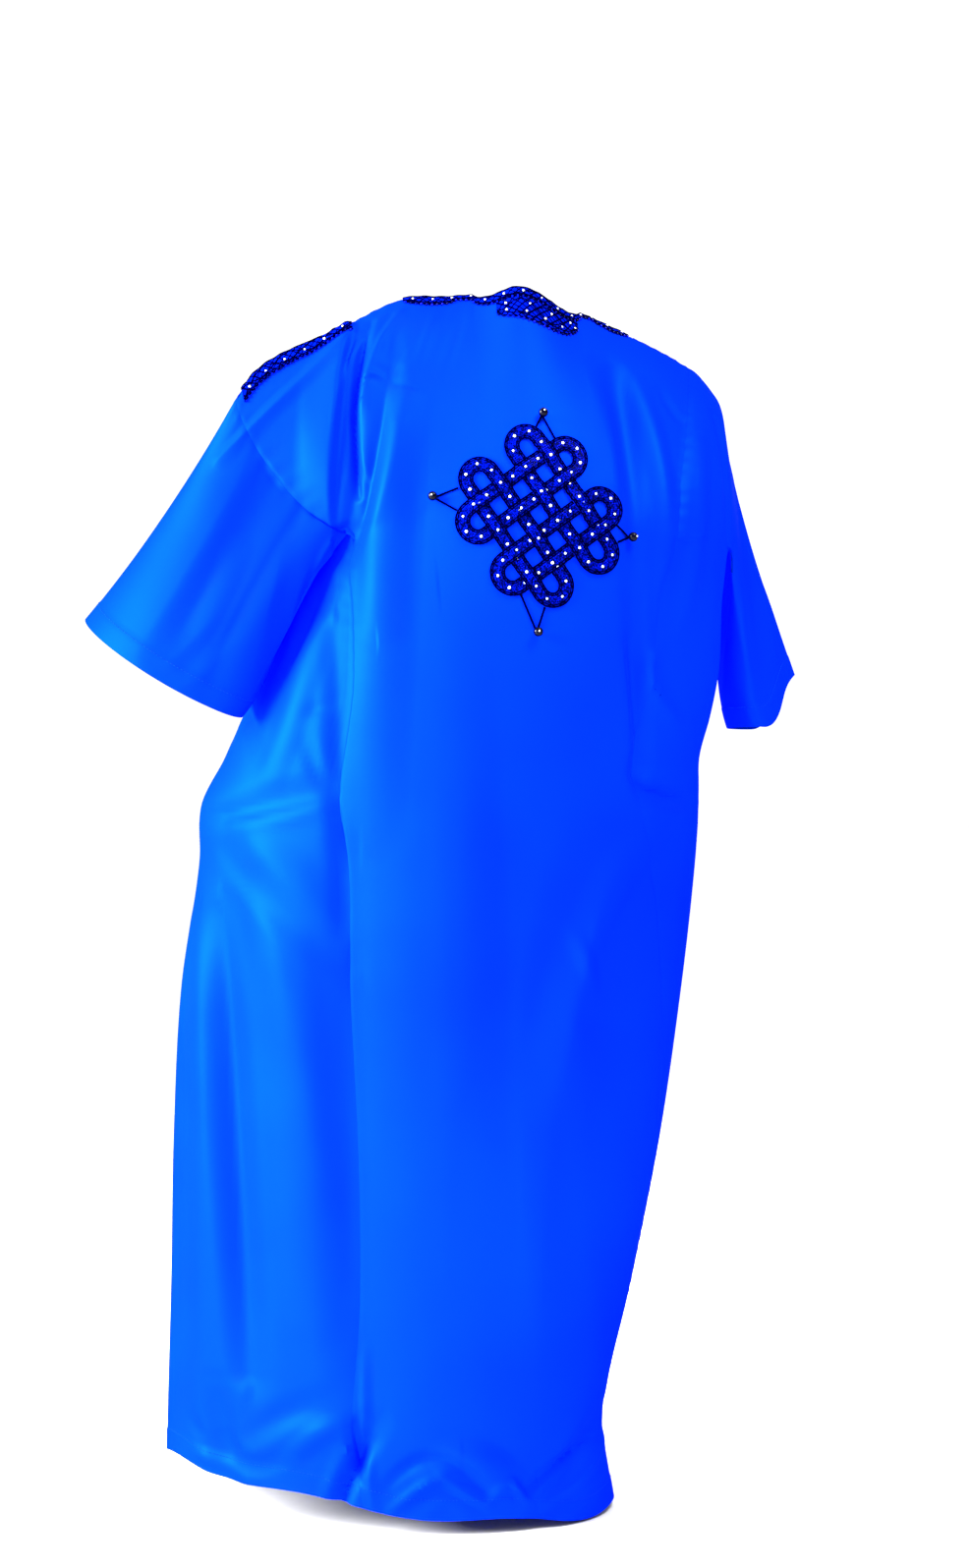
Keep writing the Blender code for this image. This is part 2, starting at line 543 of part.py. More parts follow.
def laid_lace(points, normals, number, u, drop):
    """Places on the panel at stations u and this far below the shoulder line."""
    columns = np.interp(u, columns_between(0, 4), np.arange(number.shape[1]))
    lines = points[number]
    length = np.linalg.norm(np.diff(lines, axis=0), axis=-1)[::-1]
    below = np.concatenate([np.zeros((1, length.shape[1])), np.cumsum(length, axis=0)])
    out = []
    for place, depth in zip(columns.ravel(), drop.ravel()):
        j = min(int(place), below.shape[1] - 2)
        profile = below[:, j] * (1 - place + j) + below[:, j + 1] * (place - j)
        out.append(number.shape[0] - 1 - np.interp(depth, profile, np.arange(len(profile))))
    return on_grid(points, normals, number, columns, np.array(out).reshape(drop.shape))


def lace_solid(name, grids, material, collection):
    """One lace piece from grids of places and normals laid on the cloth."""
    places = np.concatenate([place.reshape(-1, 3) for place, _, _ in grids])
    ups = np.concatenate([normal.reshape(-1, 3) for _, normal, _ in grids])
    index, first = weld(places)
    faces, start = [], 0
    for place, _, flip in grids:
        rows, columns = place.shape[:2]
        number = index[start:start + rows * columns]
        faces.append(number[grid_triangles(rows, columns, flip)])
        start += rows * columns
    faces = np.concatenate(faces)
    places, ups = places[first], ups[first]
    solid = walled(places, ups, faces, LACE_GAP, LACE_GAP + LACE_THICK, mitres(places, ups, faces))
    return add_object(name, *solid, material, collection)


def strip(points, normals, number, u, top, bottom, rows, flip):
    """Grid of a lace strip between two drops below the shoulder line."""
    share = np.linspace(0, 1, rows + 1)[:, None]
    drop = bottom[None, :] * (1 - share) + top[None, :] * share
    place, normal = laid_lace(points, normals, number, np.broadcast_to(u, drop.shape), drop)
    return place, normal, flip


def neck_lace_drop(u):
    """Width of the neck lace: narrow at the rim, with a small medallion on each shoulder."""
    width = NECK_LACE_WIDTH + 0 * u
    for first, last in NECK_MEDALLIONS:
        inside = np.clip((u - first) / (last - first), 0, 1)
        width = width + MEDALLION_SWELL * np.sin(math.pi * inside) ** NECK_MEDALLION_ROUND
    outside = np.maximum(np.clip(2 - u, 0, 1), np.clip(u - 3, 0, 1))
    return width - NECK_LACE_NARROW * np.clip(outside * 6, 0, 1)


def make_lace(points, normals, numbers, material, collection):
    """The lace round the neck, along the left shoulder, below the nape and at the right shoulder's front."""
    back, front = upper_panel(numbers, "back"), upper_panel(numbers, "front")
    round_neck = 2 + (1 - np.cos(np.linspace(0, math.pi, 17))) / 2
    right_end, right_side, left_side, left_end = NECK_LACE_ENDS
    u = np.concatenate([np.linspace(right_end, right_side, 10), round_neck, np.linspace(left_side, left_end, 10)])
    none = np.zeros_like(u)
    lace_solid("neck_lace", [
        strip(points, normals, back, u, none, neck_lace_drop(u), 4, True),
        strip(points, normals, front, u, none, neck_lace_drop(u), 4, False)], material, collection)
    u = np.linspace(*SHOULDER_LACE_ENDS, 15)
    none = np.zeros_like(u)
    lace_solid("shoulder_lace_left", [
        strip(points, normals, back, u, none, SHOULDER_LACE_WIDTH["back"] + none, 3, True),
        strip(points, normals, front, u, none, SHOULDER_LACE_WIDTH["front"] + none, 2, False)],
        material, collection)
    for k, name in enumerate(LACE["lace"]):
        u = np.linspace(LACE["from"][k], LACE["to"][k], 25)
        share = np.linspace(0, 1, len(u))
        top = LACE["top"][k] + 0 * u
        bottom = LACE["bottom"][k] + LACE["swell"][k] * np.sin(math.pi * share) ** MEDALLION_ROUND
        back_side = LACE["side"][k] == "back"
        number = back if back_side else front
        lace_solid(name, [strip(points, normals, number, u, top, bottom, 7, back_side)], material, collection)


def lobe_centres():
    """Centres of the knot's eight lobes in its own plane, anticlockwise from the right."""
    places = ((1, -1), (1, 1), (1, 2), (-1, 2), (-1, 1), (-1, -1), (-1, -2), (1, -2))
    return [(KNOT_REACH[0] * a * KNOT_ALONG + c * KNOT_CROSS) if abs(c) == 1
            else (a * KNOT_ALONG + KNOT_REACH[1] * np.sign(c) * KNOT_CROSS) for a, c in places]


def knot_band(direction, which):
    """Centre line of one closed loop of the knot and its rise over or under the strands it crosses."""
    reach = KNOT_REACH[direction]
    stops = np.concatenate([[-reach], np.arange(-7, 8) / 4, [reach]])
    bend = np.radians(np.arange(30, 180, 30))
    line, rise = [], []
    for hand in (-1, 1):
        strand = 2 * which + (hand + 1) // 2
        for along in stops * -hand:
            line.append((along, strand - 1.5))
            nearest = int(np.clip(round(along + 1.5), 0, 3))
            over = (nearest + strand) % 2 == 1
            level = np.clip(1.5 - abs(along + 1.5 - nearest) * 3, 0, 1)
            rise.append(KNOT_RISE * level if over else 0.0)
        for angle in bend:
            line.append((-hand * (reach + math.sin(angle) / 2), which * 2 - 1 + hand * math.cos(angle) / 2))
            rise.append(0.0)
    line = np.array(line)
    along, cross = (KNOT_CROSS, -KNOT_ALONG) if direction else (KNOT_ALONG, KNOT_CROSS)
    return line[:, :1] * along + line[:, 1:] * cross, np.array(rise)


def cast_on(tree, plane):
    """Place and normal on the back of the cloth, straight behind each place of the layout plane."""
    hits = [tree.ray_cast(Vector((x, -1.0, z)), Vector((0, 1, 0))) for x, z in plane]
    return np.array([hit[0] for hit in hits]), np.array([hit[1] for hit in hits])


def swept_strip(tree, line, level, width, thick, closed):
    """Flat band along a line of the layout plane, laid on the cloth and raised where it passes over."""
    ahead = np.roll(line, -1, axis=0) - np.roll(line, 1, axis=0)
    if not closed:
        ahead[0], ahead[-1] = line[1] - line[0], line[-1] - line[-2]
    ahead /= np.linalg.norm(ahead, axis=1, keepdims=True)
    side = np.stack([-ahead[:, 1], ahead[:, 0]], -1) * width / 2
    rails = [cast_on(tree, line + side * k) for k in (-1, 0, 1)]
    normal = sum(n for _, n in rails)
    normal /= np.linalg.norm(normal, axis=1, keepdims=True)
    level = level[:, None]
    section = [p + normal * level for p, _ in rails] + [p + normal * (level + thick) for p, _ in rails[::-1]]
    places = np.stack(section, 1)
    count, around = places.shape[:2]
    index = np.arange(count * around).reshape(count, around)
    if closed:
        index = np.concatenate([index, index[:1]])
    index = np.concatenate([index, index[:, :1]], axis=1)
    a, b, c, d = index[:-1, :-1], index[:-1, 1:], index[1:, 1:], index[1:, :-1]
    faces = [np.stack([a, b, c], -1).reshape(-1, 3), np.stack([a, c, d], -1).reshape(-1, 3)]
    if not closed:
        for cap in (index[0, ::-1], index[-1]):
            faces.append(np.array([(cap[1], cap[2], cap[5]), (cap[2], cap[3], cap[4]), (cap[2], cap[4], cap[5]),
                                   (cap[1], cap[5], cap[0])]))
    return places.reshape(-1, 3), np.concatenate(faces)


def facing_out(places, faces):
    """Faces turned so that the volume inside is positive."""
    a, b, c = places[faces[:, 0]], places[faces[:, 1]], places[faces[:, 2]]
    volume = (a * np.cross(b, c)).sum()
    return faces if volume > 0 else faces[:, ::-1]


def make_knot(tree, materials, collection, helpers):
    """Four interlaced loops joined into one applique, four beads, and the cords that tie them to its lobes."""
    loops = []
    for direction in (0, 1):
        for which in (0, 1):
            line, rise = knot_band(direction, which)
            places, faces = swept_strip(tree, line + KNOT_PLACE, KNOT_GAP + rise, KNOT_BAND, KNOT_THICK, True)
            first = not loops
            loops.append(add_object("knot_applique" if first else f"knot_loop_{len(loops)}", places,
                                    facing_out(places, faces), materials["lace"],
                                    collection if first else helpers, not first))
    for loop in loops[1:]:
        join = loops[0].modifiers.new("join_" + loop.name, "BOOLEAN")
        join.operation = "UNION"
        join.object = loop
    lobes = lobe_centres()
    for k, name in enumerate(BEADS["bead"]):
        bead = np.array([BEADS["across"][k], BEADS["up"][k]])
        ends = []
        for lobe in (lobes[int(BEADS["first_lobe"][k])], lobes[int(BEADS["second_lobe"][k])]):
            towards = bead - lobe
            ends.append(lobe + towards / np.linalg.norm(towards) * KNOT_LOBE)
        share = np.linspace(0, 1, 5)[:, None]
        line = np.concatenate([ends[0] * (1 - share) + bead * share, (bead * (1 - share) + ends[1] * share)[1:]])
        places, faces = swept_strip(tree, line + KNOT_PLACE, LACE_GAP + 0 * line[:, 0], CORD_WIDTH, CORD_THICK, False)
        add_object(name.replace("bead", "cord"), places, facing_out(places, faces), materials["lace"], collection)
        place, normal = cast_on(tree, [bead + KNOT_PLACE])
        centre = place[0] + normal[0] * (LACE_GAP + CORD_THICK + BEAD_GAP + BEAD_RADIUS)
        ball = bmesh.new()
        bmesh.ops.create_uvsphere(ball, u_segments=12, v_segments=8, radius=BEAD_RADIUS)
        mesh = bpy.data.meshes.new(name)
        ball.to_mesh(mesh)
        ball.free()
        mesh.materials.append(materials["bead"])
        mesh.shade_smooth()
        thing = bpy.data.objects.new(name, mesh)
        thing.location = garment_frame(centre)
        collection.objects.link(thing)


def main():
    """The cloth's pieces, then what is sewn on them."""
    for thing in list(bpy.data.objects):
        bpy.data.objects.remove(thing)
    collection = bpy.data.collections.new(NAME)
    helpers = bpy.data.collections.new(NAME + "_cutters")
    bpy.context.scene.collection.children.link(collection)
    bpy.context.scene.collection.children.link(helpers)
    materials = {
        "satin": cloth_material("blue_satin", (0.0, 0.08, 0.9), 0.35),
        "lace": cloth_material("navy_lace", (0.003, 0.006, 0.10), 0.6),
        "bead": cloth_material("navy_bead", (0.002, 0.004, 0.05), 0.08),
    }
    points, normals, faces, numbers = folded_skin()
    mitre = mitres(points, normals, np.concatenate(list(faces.values())))
    for piece, triangles in faces.items():
        solid = walled(points, normals, triangles, -WALL, 0.0, mitre, SEAM_INSET)
        add_object(piece, *solid, materials["satin"], collection)
    make_lace(points, normals, numbers, materials["lace"], collection)
    tree = BVHTree.FromPolygons(points.tolist(), faces["back_panel"].tolist())
    make_knot(tree, materials, collection, helpers)


main()
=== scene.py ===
# %% [markdown]
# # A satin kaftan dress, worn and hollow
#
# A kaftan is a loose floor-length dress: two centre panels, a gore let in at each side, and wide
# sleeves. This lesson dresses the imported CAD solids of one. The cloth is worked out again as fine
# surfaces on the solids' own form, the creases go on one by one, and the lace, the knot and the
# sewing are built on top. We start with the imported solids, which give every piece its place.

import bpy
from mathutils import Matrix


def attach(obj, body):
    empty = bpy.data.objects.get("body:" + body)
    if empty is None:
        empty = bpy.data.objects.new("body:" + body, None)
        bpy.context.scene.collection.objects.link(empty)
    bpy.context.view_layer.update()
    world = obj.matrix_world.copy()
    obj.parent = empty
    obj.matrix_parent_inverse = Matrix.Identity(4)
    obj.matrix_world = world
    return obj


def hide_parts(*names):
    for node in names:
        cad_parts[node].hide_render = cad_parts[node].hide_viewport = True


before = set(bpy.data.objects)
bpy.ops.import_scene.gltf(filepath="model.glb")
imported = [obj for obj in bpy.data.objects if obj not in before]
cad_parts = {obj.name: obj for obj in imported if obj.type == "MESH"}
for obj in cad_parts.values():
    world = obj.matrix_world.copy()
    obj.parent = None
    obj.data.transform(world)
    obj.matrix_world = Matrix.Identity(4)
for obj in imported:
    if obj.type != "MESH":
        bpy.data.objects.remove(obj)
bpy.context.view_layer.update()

import math

import bpy
import numpy as np
from mathutils import Vector
from mathutils.bvhtree import BVHTree

# %% [markdown]
# ## Colours and shader nodes
#
# Dyes and threads are matched as screen colours, so every colour is written as an sRGB hex value
# and turned into linear light by one function. Shader trees are built with one small helper that
# adds a node, sets it up and links its inputs, which keeps each material short enough to read.

# %% Colour and node helpers
def linear(code):
    """Linear light from a hex colour: ((c + 0.055) / 1.055) ^ 2.4 for each channel, or c / 12.92 if dark."""
    c = np.array([int(code[k:k + 2], 16) for k in (1, 3, 5)]) / 255
    return (*np.where(c > 0.04045, ((c + 0.055) / 1.055) ** 2.4, c / 12.92).tolist(), 1.0)


def add_node(tree, kind, inputs=None, **settings):
    """Adds a node; inputs maps a socket's name or number to a value or to another node's output."""
    node = tree.nodes.new(kind)
    for name, value in settings.items():
        setattr(node, name, value)
    for name, value in (inputs or {}).items():
        if isinstance(value, bpy.types.NodeSocket):
            tree.links.new(value, node.inputs[name])
        else:
            node.inputs[name].default_value = value
    return node


def new_material(name, **sockets):
    """A material with a Principled shader; sockets are given with _ for the spaces in their names."""
    material = bpy.data.materials.new(name)
    material.use_nodes = True
    tree = material.node_tree
    shader = tree.nodes["Principled BSDF"]
    for socket, value in sockets.items():
        shader.inputs[socket.replace("_", " ")].default_value = value
    return material, tree, shader


def ramp(tree, factor, *stops):
    """Colour ramp through (place, hex colour) stops."""
    node = add_node(tree, "ShaderNodeValToRGB", {"Fac": factor})
    for k, (place, colour) in enumerate(stops):
        stop = node.color_ramp.elements[k] if k < 2 else node.color_ramp.elements.new(place)
        stop.position, stop.color = place, linear(colour)
    return node.outputs["Color"]


def attribute(tree, name):
    """The value that a mesh's points carry under this name."""
    return add_node(tree, "ShaderNodeAttribute", attribute_name=name).outputs["Fac"]


def noise(tree, place, scale, detail=2.0):
    """Smooth noise over a place, with about this many features to a metre."""
    return add_node(tree, "ShaderNodeTexNoise", {"Vector": place, "Scale": scale, "Detail": detail}).outputs["Fac"]


def mapped(tree, value, start, end, low=0.0, high=1.0):
    """A value that runs from low to high as the given one runs from start to end."""
    return add_node(tree, "ShaderNodeMapRange", {"Value": value, "From Min": start, "From Max": end,
                                                 "To Min": low, "To Max": high}).outputs[0]


def combined(tree, operation, first, second):
    """Two values put through a mathematical operation."""
    return add_node(tree, "ShaderNodeMath", {0: first, 1: second}, operation=operation).outputs[0]


def add_bump(tree, height, **inputs):
    """The normal that a height raises, with the bump's other inputs as given."""
    return add_node(tree, "ShaderNodeBump", {"Height": height, **inputs}).outputs[0]


def grained(name, scale, dark, light, spread=0.15, relief=0.0, **sockets):
    """A material whose colour runs from dark to light with a noise of this scale, and rises with it by the relief."""
    material, tree, shader = new_material(name, **sockets)
    grain = noise(tree, add_node(tree, "ShaderNodeTexCoord").outputs["Object"], scale)
    tree.links.new(ramp(tree, grain, (0.5 - spread, dark), (0.5 + spread, light)), shader.inputs["Base Color"])
    if relief:
        tree.links.new(add_bump(tree, grain, Distance=relief), shader.inputs["Normal"])
    return material


def tinted(name, *stops, **sockets):
    """A material whose colour depends on each small shape's own tint."""
    material, tree, shader = new_material(name, **sockets)
    tree.links.new(ramp(tree, attribute(tree, "tint"), *stops), shader.inputs["Base Color"])
    return material


# %% [markdown]
# ## From the pattern table to the garment's frame
#
# All shapes are laid out as the dress is seen from behind, a little to its left: across runs to
# the right, away runs from the back to the front, and up is the height above the neck point. One
# turn of 18 degrees takes that layout into the garment's own frame. Every finished piece keeps its
# place in its mesh, with its object at the origin.

# %% Frame and mesh helpers
LAYOUT_TURN = math.radians(18)


def garment_frame(places):
    """Layout places (across, away, up) turned about the vertical into +X left, +Y behind, +Z up."""
    c, s = math.cos(LAYOUT_TURN), math.sin(LAYOUT_TURN)
    across, away, up = np.moveaxis(np.asarray(places, float), -1, 0)
    return np.stack([-c * across - s * away, s * across - c * away, up], -1)


def add_object(name, data):
    """An object with this data, linked to the scene."""
    thing = bpy.data.objects.new(name, data)
    bpy.context.scene.collection.objects.link(thing)
    return thing


def add_piece(name, places, faces, material, node=None, smooth_below=180, slot="blue_satin", values=None):
    """Mesh piece from layout places and lists of faces, riding on the garment and standing for a CAD node."""
    mesh = bpy.data.meshes.new(name)
    faces = [row for group in faces for row in group.tolist()]
    mesh.from_pydata(garment_frame(places).tolist(), [], faces)
    mesh.materials.append(material)
    mesh.shade_smooth()
    if smooth_below < 180:
        mesh.set_sharp_from_angle(angle=math.radians(smooth_below))
    for key, column in (values or {}).items():
        mesh.attributes.new(key, "FLOAT", "POINT").data.foreach_set("value", np.asarray(column, np.float32))
    piece = add_object(name, mesh)
    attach(piece, "root")
    if node:
        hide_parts(node)
    print(f"{name}: {len(places)} points, {len(faces)} faces")
    return piece


def cells_between(index):
    """Four-sided faces between the neighbours in a grid of point numbers."""
    return np.stack([index[:-1, :-1], index[:-1, 1:], index[1:, 1:], index[1:, :-1]], -1).reshape(-1, 4)


def quads(rows, columns, flip=False):
    """Four-sided faces of a grid of rows by columns points."""
    cells = cells_between(np.arange(rows * columns).reshape(rows, columns))
    return cells[:, ::-1] if flip else cells


def tube_faces(rings, around, closed=False):
    """Faces of a tube of rings of points: one that isn't closed ends in two flat caps."""
    index = np.arange(rings * around).reshape(rings, around)
    index = np.concatenate([index, index[:, :1]], 1)
    if closed:
        return [cells_between(np.concatenate([index, index[:1]]))]
    return [cells_between(index), index[:1, -2::-1], index[-1:, :-1]]


def edges_of(cells):
    """The edges of every face as pairs of point numbers, without those that have shrunk to a point."""
    edges = np.concatenate([cells[:, [k, (k + 1) % 4]] for k in range(4)])
    return edges[edges[:, 0] != edges[:, 1]]


def rim_edges(edges):
    """The edges that only one face has."""
    _, which, count = np.unique(np.sort(edges, axis=1), axis=0, return_inverse=True, return_counts=True)
    return edges[count[which.reshape(-1)] == 1]


def between(first, last, share):
    """The value at this share of the way from first to last: first x (1 - share) + last x share."""
    return first * (1 - share) + last * share


def unit(vectors):
    """Each vector divided by its length."""
    return vectors / np.maximum(np.linalg.norm(vectors, axis=-1, keepdims=True), 1e-12)


# %% [markdown]
# ## The form of the worn dress
#
# Worn cloth could be simulated over a body, but the pose here is known from the outside only, so
# the form is lofted instead: rings for the skirt and chest, a shoulder line, and a cuff ring for
# each sleeve. These are the solids' own tables, sampled about nine times as finely along the
# cloth and six times across it, so that the dressed cloth lies on its solid.

# %% Tables of the form
def table(text):
    """Columns by name from a table written out as text."""
    names, *rows = [line.split() for line in text.strip().splitlines()]
    return {name: [row[k] if row[k][0].isalpha() else float(row[k]) for row in rows]
            for k, name in enumerate(names)}


UNDERARM, HEM = -0.274, -1.400
# The hem is lifted on one side, most at this ring angle, from this height down, and it waves a little.
HEM_LIFT, LIFT_ANGLE, LIFT_FROM = 0.0545, 68, -1.1
HEM_WAVE, HEM_WAVES, WAVE_FROM = 0.004, 7, -1.3
# Rings of the skirt and chest: centre, half width, half depth towards the back and the front, turn.
# A pinch over 1 draws the ring to a point at each side, where it is pulled outward.
RINGS = table("""
up      across   away   half    near    far    turn  pinch
-1.400  -0.1555  0.030  0.2660  0.172   0.190  -8    1.00
-1.317  -0.1610  0.030  0.2590  0.172   0.190  -8    1.00
-1.140  -0.1420  0.025  0.2725  0.180   0.192  -6    1.00
-0.966  -0.1227  0.015  0.2863  0.186   0.195  -3    1.00
-0.793  -0.1048  0.005  0.2926  0.190   0.195   1    1.02
-0.643  -0.0847  0.000  0.2905  0.190   0.195   5    1.06
-0.583  -0.0800  0.000  0.2930  0.188   0.195   7    1.10
-0.528  -0.0658  0.000  0.2793  0.184   0.195   9    1.05
-0.482  -0.0480  0.000  0.2740  0.178   0.195  10.5  1.00
-0.436  -0.0328  0.000  0.2693  0.172   0.195  12    1.00
-0.340  -0.0060  0.000  0.2490  0.158   0.190  14    1.00
-0.274   0.0156  0.000  0.2360  0.150   0.180  16    1.00
-0.160   0.0200  0.000  0.2250  0.140   0.160  18    1.00
""")
# Angle of each long seam round the rings: 0 at the back, growing towards the wearer's left.
SEAMS = table("""
up      back_left  front_left  front_right  back_right
-1.400    0          105         190          248
-1.140    5          111         198          264
-0.966   11          115         207          278
-0.793   19          120         218          295
-0.643   27.5        124         228          309
-0.560   34          126         232          317
-0.436   44          128         236          325
-0.340   59          125         236          326.5
-0.274   78          122         235          327
""")
# Stations along the top: the ring angle that each hangs over at the underarm, columns up to the next.
STATIONS = table("""
station      back_angle  front_angle  columns
cap_right     -76         258          18
seam_right    -33         235          28
neck_right     -3         205          36
neck_left      29         172          94
seam_left      78         122          0
""")
# The shoulder line from the right cap to the left armhole, passing over the neck as if it were closed.
SHOULDER = table("""
u     across   away    up
0.00   0.2393   0.140  -0.0874
0.50   0.2240   0.133  -0.0690
1.00   0.2047   0.122  -0.0540
1.50   0.1421   0.072  -0.0294
1.75   0.1058   0.048  -0.0167
2.00   0.0700   0.022  -0.0052
2.50   0.0060   0.002   0.0060
3.00  -0.0575  -0.015   0.0101
3.12  -0.0861  -0.022   0.0067
3.30  -0.1372  -0.035   0.0030
3.55  -0.2103  -0.055  -0.0352
3.90  -0.3090  -0.083  -0.0935
4.00  -0.3263  -0.090  -0.1192
""")
# The neck is cut from that form: this share of the middle column's height, and its rise at the nape.
NECK_CUT = {"back": 0.20, "front": 0.40}
NECK_RISE = {"back": 0.040, "front": 0.0}
NECK_LEAN, NECK_ROUND = 1.15, 1.5
OVER_SHOULDER = {"back": (0.0, 0.16, 0.05), "front": (0.0, -0.16, 0.05)}
# The cloth above the underarm leaves its ring by this much of a metre, as the ring's own slope leads it.
CHEST_RISE, SLOPE_STEP = 0.27, 0.02
# Directions of the cloth at the underarm and at the shoulder, where the sleeves pull it. Each pull
# starts at a station and grows to its full share over a span, to the left (1) or the right (-1).
PULLS = {
    ("back", "left"): ((-0.16, -0.02, 0.02), (-0.01, 0.05, 0.12)),
    ("back", "right"): ((-0.02, -0.04, 0.22), (-0.05, 0.12, 0.10)),
    ("front", "left"): ((-0.14, 0.03, 0.04), (-0.02, -0.06, 0.10)),
    ("front", "right"): ((0.00, 0.08, 0.14), (-0.02, -0.10, 0.08)),
}
PULL_SPAN = {"left": (2.2, 1.8, 1), "right": (1.5, 1.5, -1)}
PULL_GROWTH = 2.5
# Cuff rings: centre, the vector to the top fold and the vector to the near side, then how each sleeve
# leaves the armhole along its top and its underside, and how it reaches the cuff. The slack draws the
# underside's far half off the body, the corner lifts the top fold and the point draws it out.
CUFFS = {
    "left": dict(centre=(-0.4105, -0.070, -0.4255), top=(-0.0910, 0.020, 0.0570), near=(-0.012, -0.075, -0.010),
                 leave=(-0.05, -0.02, -0.13), under=(-0.080, -0.045, -0.035), reach=(-0.16, 0.01, -0.19),
                 slack=(-0.045, 0.0, 0.0), corner=0.0, point=0.0),
    "right": dict(centre=(0.287, 0.125, -0.492), top=(0.035, 0.010, 0.0), near=(0.0, -0.090, 0.0),
                  leave=(0.0, 0.10, -0.10), under=(0.06, 0.05, -0.02), reach=(0.08, 0.00, -0.23),
                  slack=(0.0, 0.0, 0.0), corner=0.065, point=0.013),
}
# Share of the way to the cuff that steers a sleeve's start, how pointed its cuff ring is at the folds,
# and how narrow the right cuff's lifted corner and its drawn-out point are.
SLEEVE_STEER, CUFF_PINCH, CORNER_NARROW, POINT_NARROW = 0.55, 1.1, 3, 16
print("rings:", len(RINGS["up"]), "shoulder stations:", len(SHOULDER["u"]))


# %% Curves through the tables
def hermite(f, start, leave, end, arrive):
    """Cubic: (1+2f)(1-f)^2 start + f(1-f)^2 leave + f^2(3-2f) end - f^2(1-f) arrive, with f from 0 to 1."""
    return ((1 + 2 * f) * (1 - f) ** 2 * start + f * (1 - f) ** 2 * leave
            + f * f * (3 - 2 * f) * end - f * f * (1 - f) * arrive)


def eased(at, knots, values):
    """Smooth curve through a table's column: a cubic in each gap, with the slopes of its neighbours."""
    knots, values = np.asarray(knots), np.asarray(values)
    at = np.clip(at, knots[0], knots[-1])
    i = np.clip(np.searchsorted(knots, at, side="right") - 1, 0, len(knots) - 2)
    slope = np.gradient(values, knots)
    gap = knots[i + 1] - knots[i]
    return hermite((at - knots[i]) / gap, values[i], gap * slope[i], values[i + 1], gap * slope[i + 1])


def ring(angle, up):
    """Oval ring of the body: half sin(angle) across, near or far cos(angle) deep, turned, and lifted at the hem."""
    angle, up = np.broadcast_arrays(np.asarray(angle, float), np.asarray(up, float))
    size = {name: eased(up, RINGS["up"], RINGS[name]) for name in RINGS if name != "up"}
    s, c = np.sin(np.radians(angle)), np.cos(np.radians(angle))
    x = -size["half"] * np.sign(s) * np.abs(s) ** size["pinch"]
    y = -np.where(c > 0, size["near"], size["far"]) * np.sign(c) * np.abs(c) ** size["pinch"]
    turn = np.radians(size["turn"])
    lifted = ((1 + np.cos(np.radians(angle - LIFT_ANGLE))) / 2) ** 2
    lift = HEM_LIFT * lifted * np.clip((up - LIFT_FROM) / (HEM - LIFT_FROM), 0, 1) ** 2
    wave = HEM_WAVE * np.sin(np.radians(angle) * HEM_WAVES) * np.clip((up - WAVE_FROM) / (HEM - WAVE_FROM), 0, 1)
    return np.stack([size["across"] + x * np.cos(turn) - y * np.sin(turn),
                     size["away"] + x * np.sin(turn) + y * np.cos(turn), up + lift + wave], -1)


def shoulder_line(u, side):
    """The line over the shoulders through the stations u, raised at the nape by a narrow sine hump."""
    line = np.stack([eased(u, SHOULDER["u"], SHOULDER[axis]) for axis in ("across", "away", "up")], -1)
    line[..., 2] += NECK_RISE[side] * np.sin(math.pi * np.clip(u - 2, 0, 1) ** NECK_LEAN) ** NECK_ROUND
    return line


def hang_angle(u, side):
    """Ring angle that each station of the shoulder line hangs over."""
    return eased(u, np.arange(5), STATIONS[side + "_angle"])


def above_underarm(u, f, side):
    """Chest and shoulders: each column is a cubic from the underarm ring (f 0) over the shoulder line (f 1)."""
    u, f = np.broadcast_arrays(np.asarray(u, float), np.asarray(f, float))
    across_neck = np.clip(u - 2, 0, 1)
    f = f - f * f * NECK_CUT[side] * (4 * across_neck * (1 - across_neck)) ** 0.5
    angle = hang_angle(u, side)
    start = ring(angle, UNDERARM)
    leave = ring(angle, UNDERARM + SLOPE_STEP) - ring(angle, UNDERARM - SLOPE_STEP)
    leave = leave * (CHEST_RISE / (2 * SLOPE_STEP))
    arrive = np.broadcast_to(np.array(OVER_SHOULDER[side]), start.shape)
    for hand, (station, span, sign) in PULL_SPAN.items():
        weight = ((np.clip(sign * (u - station), 0, span) / span) ** PULL_GROWTH)[..., None]
        leave, arrive = (between(a, np.array(b), weight) for a, b in zip((leave, arrive), PULLS[side, hand]))
    return hermite(f[..., None], start, leave, shoulder_line(u, side), arrive)


def below_underarm(angle_at_top, f, edges):
    """Skirt panel between two seams, hem (f 0) to underarm (f 1); a column keeps its share of the width."""
    up = HEM + (UNDERARM - HEM) * np.asarray(f, float)
    top = np.asarray(angle_at_top, float)
    first, last = [eased(up, SEAMS["up"], SEAMS[name]) for name in edges]
    first = first + 360 * np.round((top[0] - first[-1]) / 360)
    last = last + 360 * np.round((top[-1] - last[-1]) / 360)
    share = (top - top[0]) / (top[-1] - top[0])
    return ring(first[:, None] + (last - first)[:, None] * share[None, :], up[:, None])


def columns_between(first, last):
    """Column places from one station to another, cosine-spaced across the neck, where the curve is tight."""
    places = []
    for k in range(first, last):
        share = np.arange(int(STATIONS["columns"][k])) / STATIONS["columns"][k]
        places.append(k + ((1 - np.cos(math.pi * share)) / 2 if k == 2 else share))
    return np.concatenate(places + [[last]])


